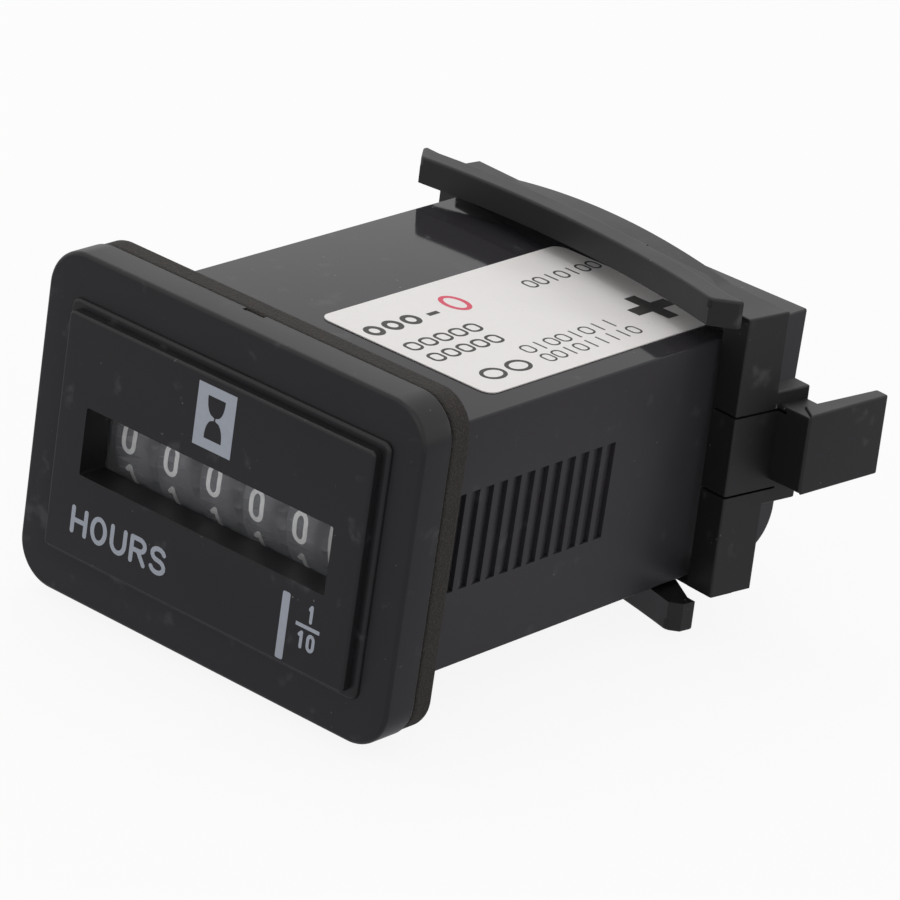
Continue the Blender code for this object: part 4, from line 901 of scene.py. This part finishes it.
def bow(overhang, chamfer, joined):
    """A bow spring seen from above, its ends forward and its middle back.

    A joined one reaches back to the ring in its middle part. The right end may overhang the left."""
    front, rear = [], []
    for step in range(2 * CURVE_STEPS + 1):
        share = step / CURVE_STEPS - 1
        across = share * (BOW_HALF_LENGTH - chamfer)
        back = -BOW_REACH + BOW_SAG * (1 - share ** 2)
        front.append((across, back))
        freed = max(0.0, abs(across) - BOW_JOINED) / (BOW_HALF_LENGTH - chamfer - BOW_JOINED)
        web = BOW_JOIN_DEPTH + (BOW_THICKNESS - BOW_REACH - BOW_JOIN_DEPTH) * freed
        rear.append((across, web if joined else back + BOW_THICKNESS))
    right = [(BOW_HALF_LENGTH, -BOW_REACH + chamfer), (BOW_HALF_LENGTH, -BOW_REACH + BOW_THICKNESS)]
    left = [(-across, back) for across, back in reversed(right)]
    outline = front + right + rear[::-1] + left
    return [(across + overhang * max(0.0, across / BOW_HALF_LENGTH), back) for across, back in outline]


def raised(piece, low, high):
    """Shift a flat drawing so that its thickness runs between two heights."""
    piece.data.transform(Matrix.Translation((0.0, 0.0, (low + high) / 2)))
    return piece


def sideways(name, side, low, high, outline):
    """A block with softened edges for one side of the clip, from its outline seen from above."""
    drawing = outline_shape(name, [[(side * across, back) for across, back in outline]], high - low)
    return round_edges(raised(drawing, low, high), every_edge, CLIP_EDGE, 3)


ring = slab("clip_ring", (-RING_HALF_WIDTH, 0.0, -RING_HALF_HEIGHT),
            (RING_HALF_WIDTH, RING_DEPTH, RING_HALF_HEIGHT))
round_edges(ring, every_edge, CLIP_EDGE, 3)
ring_behind = RING_DEPTH + THROUGH
for side in (1, -1):
    crown = outline_shape("ring_crown", [arch(side)], RING_DEPTH - 2 * CROWN_SUNK)
    crown.data.transform(Matrix.Translation((0.0, RING_DEPTH / 2, 0.0)) @ Matrix.Rotation(pi / 2, 4, 'X'))
    unite(ring, crown)
cut(ring, slab("ring_throat", (-THROAT_HALF_WIDTH, -THROUGH, -THROAT_HALF_HEIGHT),
               (THROAT_HALF_WIDTH, ring_behind, THROAT_HALF_HEIGHT)))
for side in (1, -1):     # the lower right corner and the upper left one are cut away
    heights = sorted((-side * WALL_END, -side * 2 * RING_HALF_HEIGHT))
    widths = sorted((side * (RING_HALF_WIDTH - CORNER_CUT), side * 2 * RING_HALF_WIDTH))
    cut(ring, slab("corner_notch", (widths[0], -THROUGH, heights[0]), (widths[1], ring_behind, heights[1])))
    widths = sorted((side * BOW_ROOT, side * 2 * RING_HALF_WIDTH))
    cut(ring, slab("corner_setback", (widths[0], -THROUGH, heights[0]),
                   (widths[1], CORNER_SETBACK, heights[1])))
cut(ring, slab("side_setback", (-2 * RING_HALF_WIDTH, -THROUGH, SIDE_SETBACK_START),
               (THROUGH - THROAT_HALF_WIDTH, CORNER_SETBACK, 2 * RING_HALF_HEIGHT)))
for side in (1, -1):
    outer, overhang, chamfer = ((BOW_TOP, BOW_OVERHANG, BOW_FACET) if side > 0 else
                                (BOW_TOP + LOWER_BOW_DROP, 0.0, LOWER_BOW_FACET))
    heights = sorted((side * outer, side * (outer - BOW_HEIGHT)))
    spring = raised(outline_shape("bow_spring", [bow(overhang, chamfer, False)], BOW_HEIGHT), *heights)
    facet = (BOW_HALF_LENGTH - chamfer - 0.2, BOW_HALF_LENGTH - 0.3)
    round_edges(spring, lambda middle, direction: abs(direction.z) > 0.99 and middle.y < -BOW_REACH + 0.2
                and facet[0] < abs(middle.x) < facet[1], BOW_FACET_ROUND, 4)
    round_edges(spring, lambda middle, direction: abs(direction.z) < 0.01, BOW_EDGE, 3)
    heights = sorted((side * (BOW_TOP - BOW_HEIGHT + 0.1), side * WEB_TOP))
    web = raised(outline_shape("bow_web", [bow(overhang, chamfer, True)], heights[1] - heights[0]), *heights)
    heights = sorted((side * (THROAT_HALF_HEIGHT + 0.2), side * ROOT_TOP))
    root = slab("bow_root", (-BOW_ROOT, -BOW_REACH + BOW_SAG + BOW_THICKNESS / 2, heights[0]),
                (BOW_ROOT, CORNER_SETBACK + 0.2, heights[1]))
    unite(ring, spring, web, root)
for side in (1, -1):
    widths = sorted((side * (THROAT_HALF_WIDTH + HEEL_INSET), side * RING_HALF_WIDTH))
    heel = slab("lever_heel", (widths[0], RING_DEPTH - 1.0, HEEL_BOTTOM),
                (widths[1], RING_DEPTH + HEEL_DEPTH, HEEL_TOP))
    round_edges(heel, every_edge, CLIP_EDGE, 3)
    shoulder_in = THROAT_HALF_WIDTH + HEEL_INSET + SHOULDER_SUNK
    shoulder_rear = RING_DEPTH + HEEL_DEPTH - SHOULDER_SUNK
    shoulder = sideways("lever_shoulder", side, LEVER_BOTTOM + SHOULDER_SUNK, LEVER_TOP - SHOULDER_SUNK, [
        (shoulder_in, RING_DEPTH + SHOULDER_SUNK),
        (LEVER_OUT - SHOULDER_FRONT_INSET, RING_DEPTH + 2 * SHOULDER_SUNK),
        (LEVER_OUT - SHOULDER_REAR_INSET, shoulder_rear), (shoulder_in, shoulder_rear)])
    tip = RING_DEPTH + LEVER_LENGTH
    lever = sideways("finger_lever", side, LEVER_BOTTOM, LEVER_TOP, [
        (LEVER_OUT - LEVER_THICKNESS, RING_DEPTH + LEVER_ROOT_IN), (LEVER_OUT, RING_DEPTH + LEVER_ROOT_OUT),
        (LEVER_TIP_OUT, tip), (LEVER_TIP_OUT - LEVER_TIP_THICKNESS, tip)])
    unite(ring, heel, shoulder, lever)
    widths = sorted((side * (THROAT_HALF_WIDTH - THROUGH), side * (RING_HALF_WIDTH + THROUGH)))
    for level in PAWL_SLITS:
        cut(ring, slab("pawl_slit", (widths[0], -THROUGH, level - SLIT_WIDTH / 2),
                       (widths[1], SLIT_LENGTH, level + SLIT_WIDTH / 2)))
ring.location = CLIP_PLACE
ring.rotation_euler = CLIP_TURN
alone(ring)
bpy.ops.object.transform_apply(location=True, rotation=True, scale=True)
seat(ring, "sliding_clip", clip_plastic, "clip")
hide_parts("mounting_clip")

# Number wheels: six moulded drums on one shaft, dark grey with white numbers, and white with black
# ones for the tenths. The numbers run down the drum, so that each wheel turns upwards as it counts.
# Each wheel rests a little off its place, within the play of its pinion.
WHEEL_PLAY = {
    "tenths": 0.0, "units": 2.4, "tens": 1.6, "hundreds": -1.6, "thousands": -1.2, "ten_thousands": -3.0}
DRUM_RADIUS = 6.8
FIGURE_HEIGHT = 3.2
FIGURE_WIDTH = 1.70
FIGURE_PEN = 0.46
FIGURE_THICKNESS = 0.05
FIGURE_STEPS = 10
FIGURE_SHIFT = -0.12
TENTHS_DRUM_END = 10.9
WHEEL_GREY = (0.170, 0.171, 0.188, 1.0)
WHEEL_WHITE = (0.80, 0.79, 0.77, 1.0)
FIGURE_BLACK = (0.02, 0.02, 0.02, 1.0)


def moulded(name, colour, roughness, variation=0.12, grain=0.2):
    """Plain moulded plastic for small parts, with slight clouding and a fine skin."""
    finish = Finish(name, colour, roughness)
    clouds = finish.noise(2.5, 4.0)
    darker = tuple((1 - variation) * part for part in colour[:3]) + (1.0,)
    finish.set("Base Color", finish.mix(clouds, colour, darker))
    finish.set("Roughness", roughness * (0.85 + 0.3 * clouds))
    finish.relief(finish.noise(grain, 2.0), 0.004)
    return finish.material


def flat_figure(number):
    """One number about the origin, cut across so that it can be wrapped round a drum."""
    box = (-FIGURE_WIDTH / 2, -FIGURE_HEIGHT / 2, FIGURE_WIDTH / 2, FIGURE_HEIGHT / 2)
    piece = glyph(str(number), box, FIGURE_PEN, FIGURE_THICKNESS)
    alone(piece)
    bpy.ops.object.mode_set(mode='EDIT')
    for step in range(1, FIGURE_STEPS):
        level = FIGURE_HEIGHT * (step / FIGURE_STEPS - 0.5)
        bpy.ops.mesh.select_all(action='SELECT')
        bpy.ops.mesh.bisect(plane_co=(0.0, level, 0.0), plane_no=(0.0, 1.0, 0.0))
    bpy.ops.object.mode_set(mode='OBJECT')
    return piece


def wrapped(flat, turn, centre):
    """A copy of a flat number wrapped round a drum, upright where it faces the window."""
    piece = flat.copy()
    piece.data = flat.data.copy()
    bpy.context.scene.collection.objects.link(piece)
    for vertex in piece.data.vertices:
        angle = vertex.co.y / DRUM_RADIUS - turn
        reach = DRUM_RADIUS + vertex.co.z
        across = centre[0] + FIGURE_SHIFT + vertex.co.x
        vertex.co = (across, centre[1] - reach * cos(angle), centre[2] + reach * sin(angle))
    return piece


def copy_of(node):
    """A merged copy of a CAD node, in millimetres."""
    piece = bpy.data.objects.new(node + "_copy", frame["nodes"][node].data.copy())
    bpy.context.scene.collection.objects.link(piece)
    piece.data.transform(Matrix.Scale(1 / MM, 4))
    alone(piece)
    bpy.ops.object.mode_set(mode='EDIT')
    bpy.ops.mesh.select_all(action='SELECT')
    bpy.ops.mesh.remove_doubles(threshold=0.0005)
    bpy.ops.object.mode_set(mode='OBJECT')
    return piece


wheel_finishes = {
    "wheel_grey": (moulded("grey_wheel_plastic", WHEEL_GREY, 0.5), ink("white_figure_ink", WHITE, 0.0)),
    "wheel_white": (moulded("white_wheel_plastic", WHEEL_WHITE, 0.5), ink("black_figure_ink", FIGURE_BLACK))}
wheel_joints = {joint["child"]: joint for joint in frame["joints"]}
flat_figures = [flat_figure(number) for number in range(10)]
for wheel, play in WHEEL_PLAY.items():
    slot_name = "wheel_white" if wheel == "tenths" else "wheel_grey"
    drum_finish, figure_finish = wheel_finishes[slot_name]
    centre = [part / MM for part in wheel_joints[wheel]["pos_m"]]
    drum = copy_of(wheel + "_wheel")
    if wheel == "tenths":
        for vertex in drum.data.vertices:
            radius = hypot(vertex.co.y - centre[1], vertex.co.z - centre[2])
            if radius > DRUM_RADIUS - 0.1 and vertex.co.x < centre[0]:
                vertex.co.x = TENTHS_DRUM_END
    seat(drum, wheel + "_drum", drum_finish, wheel, 30.0)
    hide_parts(wheel + "_wheel")
    turns = [number * tau / 10 + radians(play) for number in range(10)]
    figures = merge("figures", [wrapped(flat, turn, centre) for flat, turn in zip(flat_figures, turns)])
    seat(figures, wheel + "_figures", figure_finish, wheel, 30.0)
for flat in flat_figures:
    bpy.data.objects.remove(flat, do_unlink=True)

# Counter works behind the wheels: acetal transfer pinions and gears, ground steel shafts and
# stamped steel plates.
acetal = moulded("natural_acetal", (0.74, 0.72, 0.66, 1.0), 0.38, 0.10)


def metal(name, colour, darker, roughness, grain=(0.05, 1.0)):
    """Bare metal with fine drawing marks and dull patches."""
    finish = Finish(name, colour, roughness, 1.0)
    dull = finish.noise(1.5, 5.0)
    marks = finish.node("ShaderNodeMapping", {}, {"Vector": finish.place, "Scale": (1.0, grain[1], grain[1])},
                        output="Vector")
    scratches = finish.noise(grain[0], 3.0, marks)
    finish.set("Base Color", finish.mix(dull, colour, darker))
    finish.set("Roughness", roughness * (0.7 + 0.6 * dull) + 0.08 * scratches)
    finish.relief(scratches, 0.003)
    return finish.material


steel = metal("bright_steel", (0.60, 0.60, 0.61, 1.0), (0.42, 0.41, 0.40, 1.0), 0.28, (0.08, 0.15))
magnet = metal("ground_magnet", (0.42, 0.42, 0.43, 1.0), (0.30, 0.29, 0.29, 1.0), 0.42)
copper = metal("enamelled_copper", (0.62, 0.24, 0.10, 1.0), (0.42, 0.14, 0.06, 1.0), 0.30, (0.10, 3.0))
laminate = moulded("green_board", (0.025, 0.14, 0.06, 1.0), 0.35, 0.25, 0.35)
resin = moulded("black_resin", (0.020, 0.020, 0.021, 1.0), 0.5, 0.3, 0.12)
ceramic = moulded("coated_ceramic", (0.60, 0.48, 0.32, 1.0), 0.5, 0.2, 0.25)
INNER_FINISHES = {
    "acetal": acetal, "bright_steel": steel, "magnet_steel": magnet, "copper_wire": copper,
    "board_laminate": laminate, "black_resin": resin, "resistor_ceramic": ceramic}
for row in frame["record"]["subparts"]:
    finish = INNER_FINISHES.get(row["material_slot"])
    if finish:
        frame["nodes"][row["node"]].data.materials.clear()
        frame["nodes"][row["node"]].data.materials.append(finish)
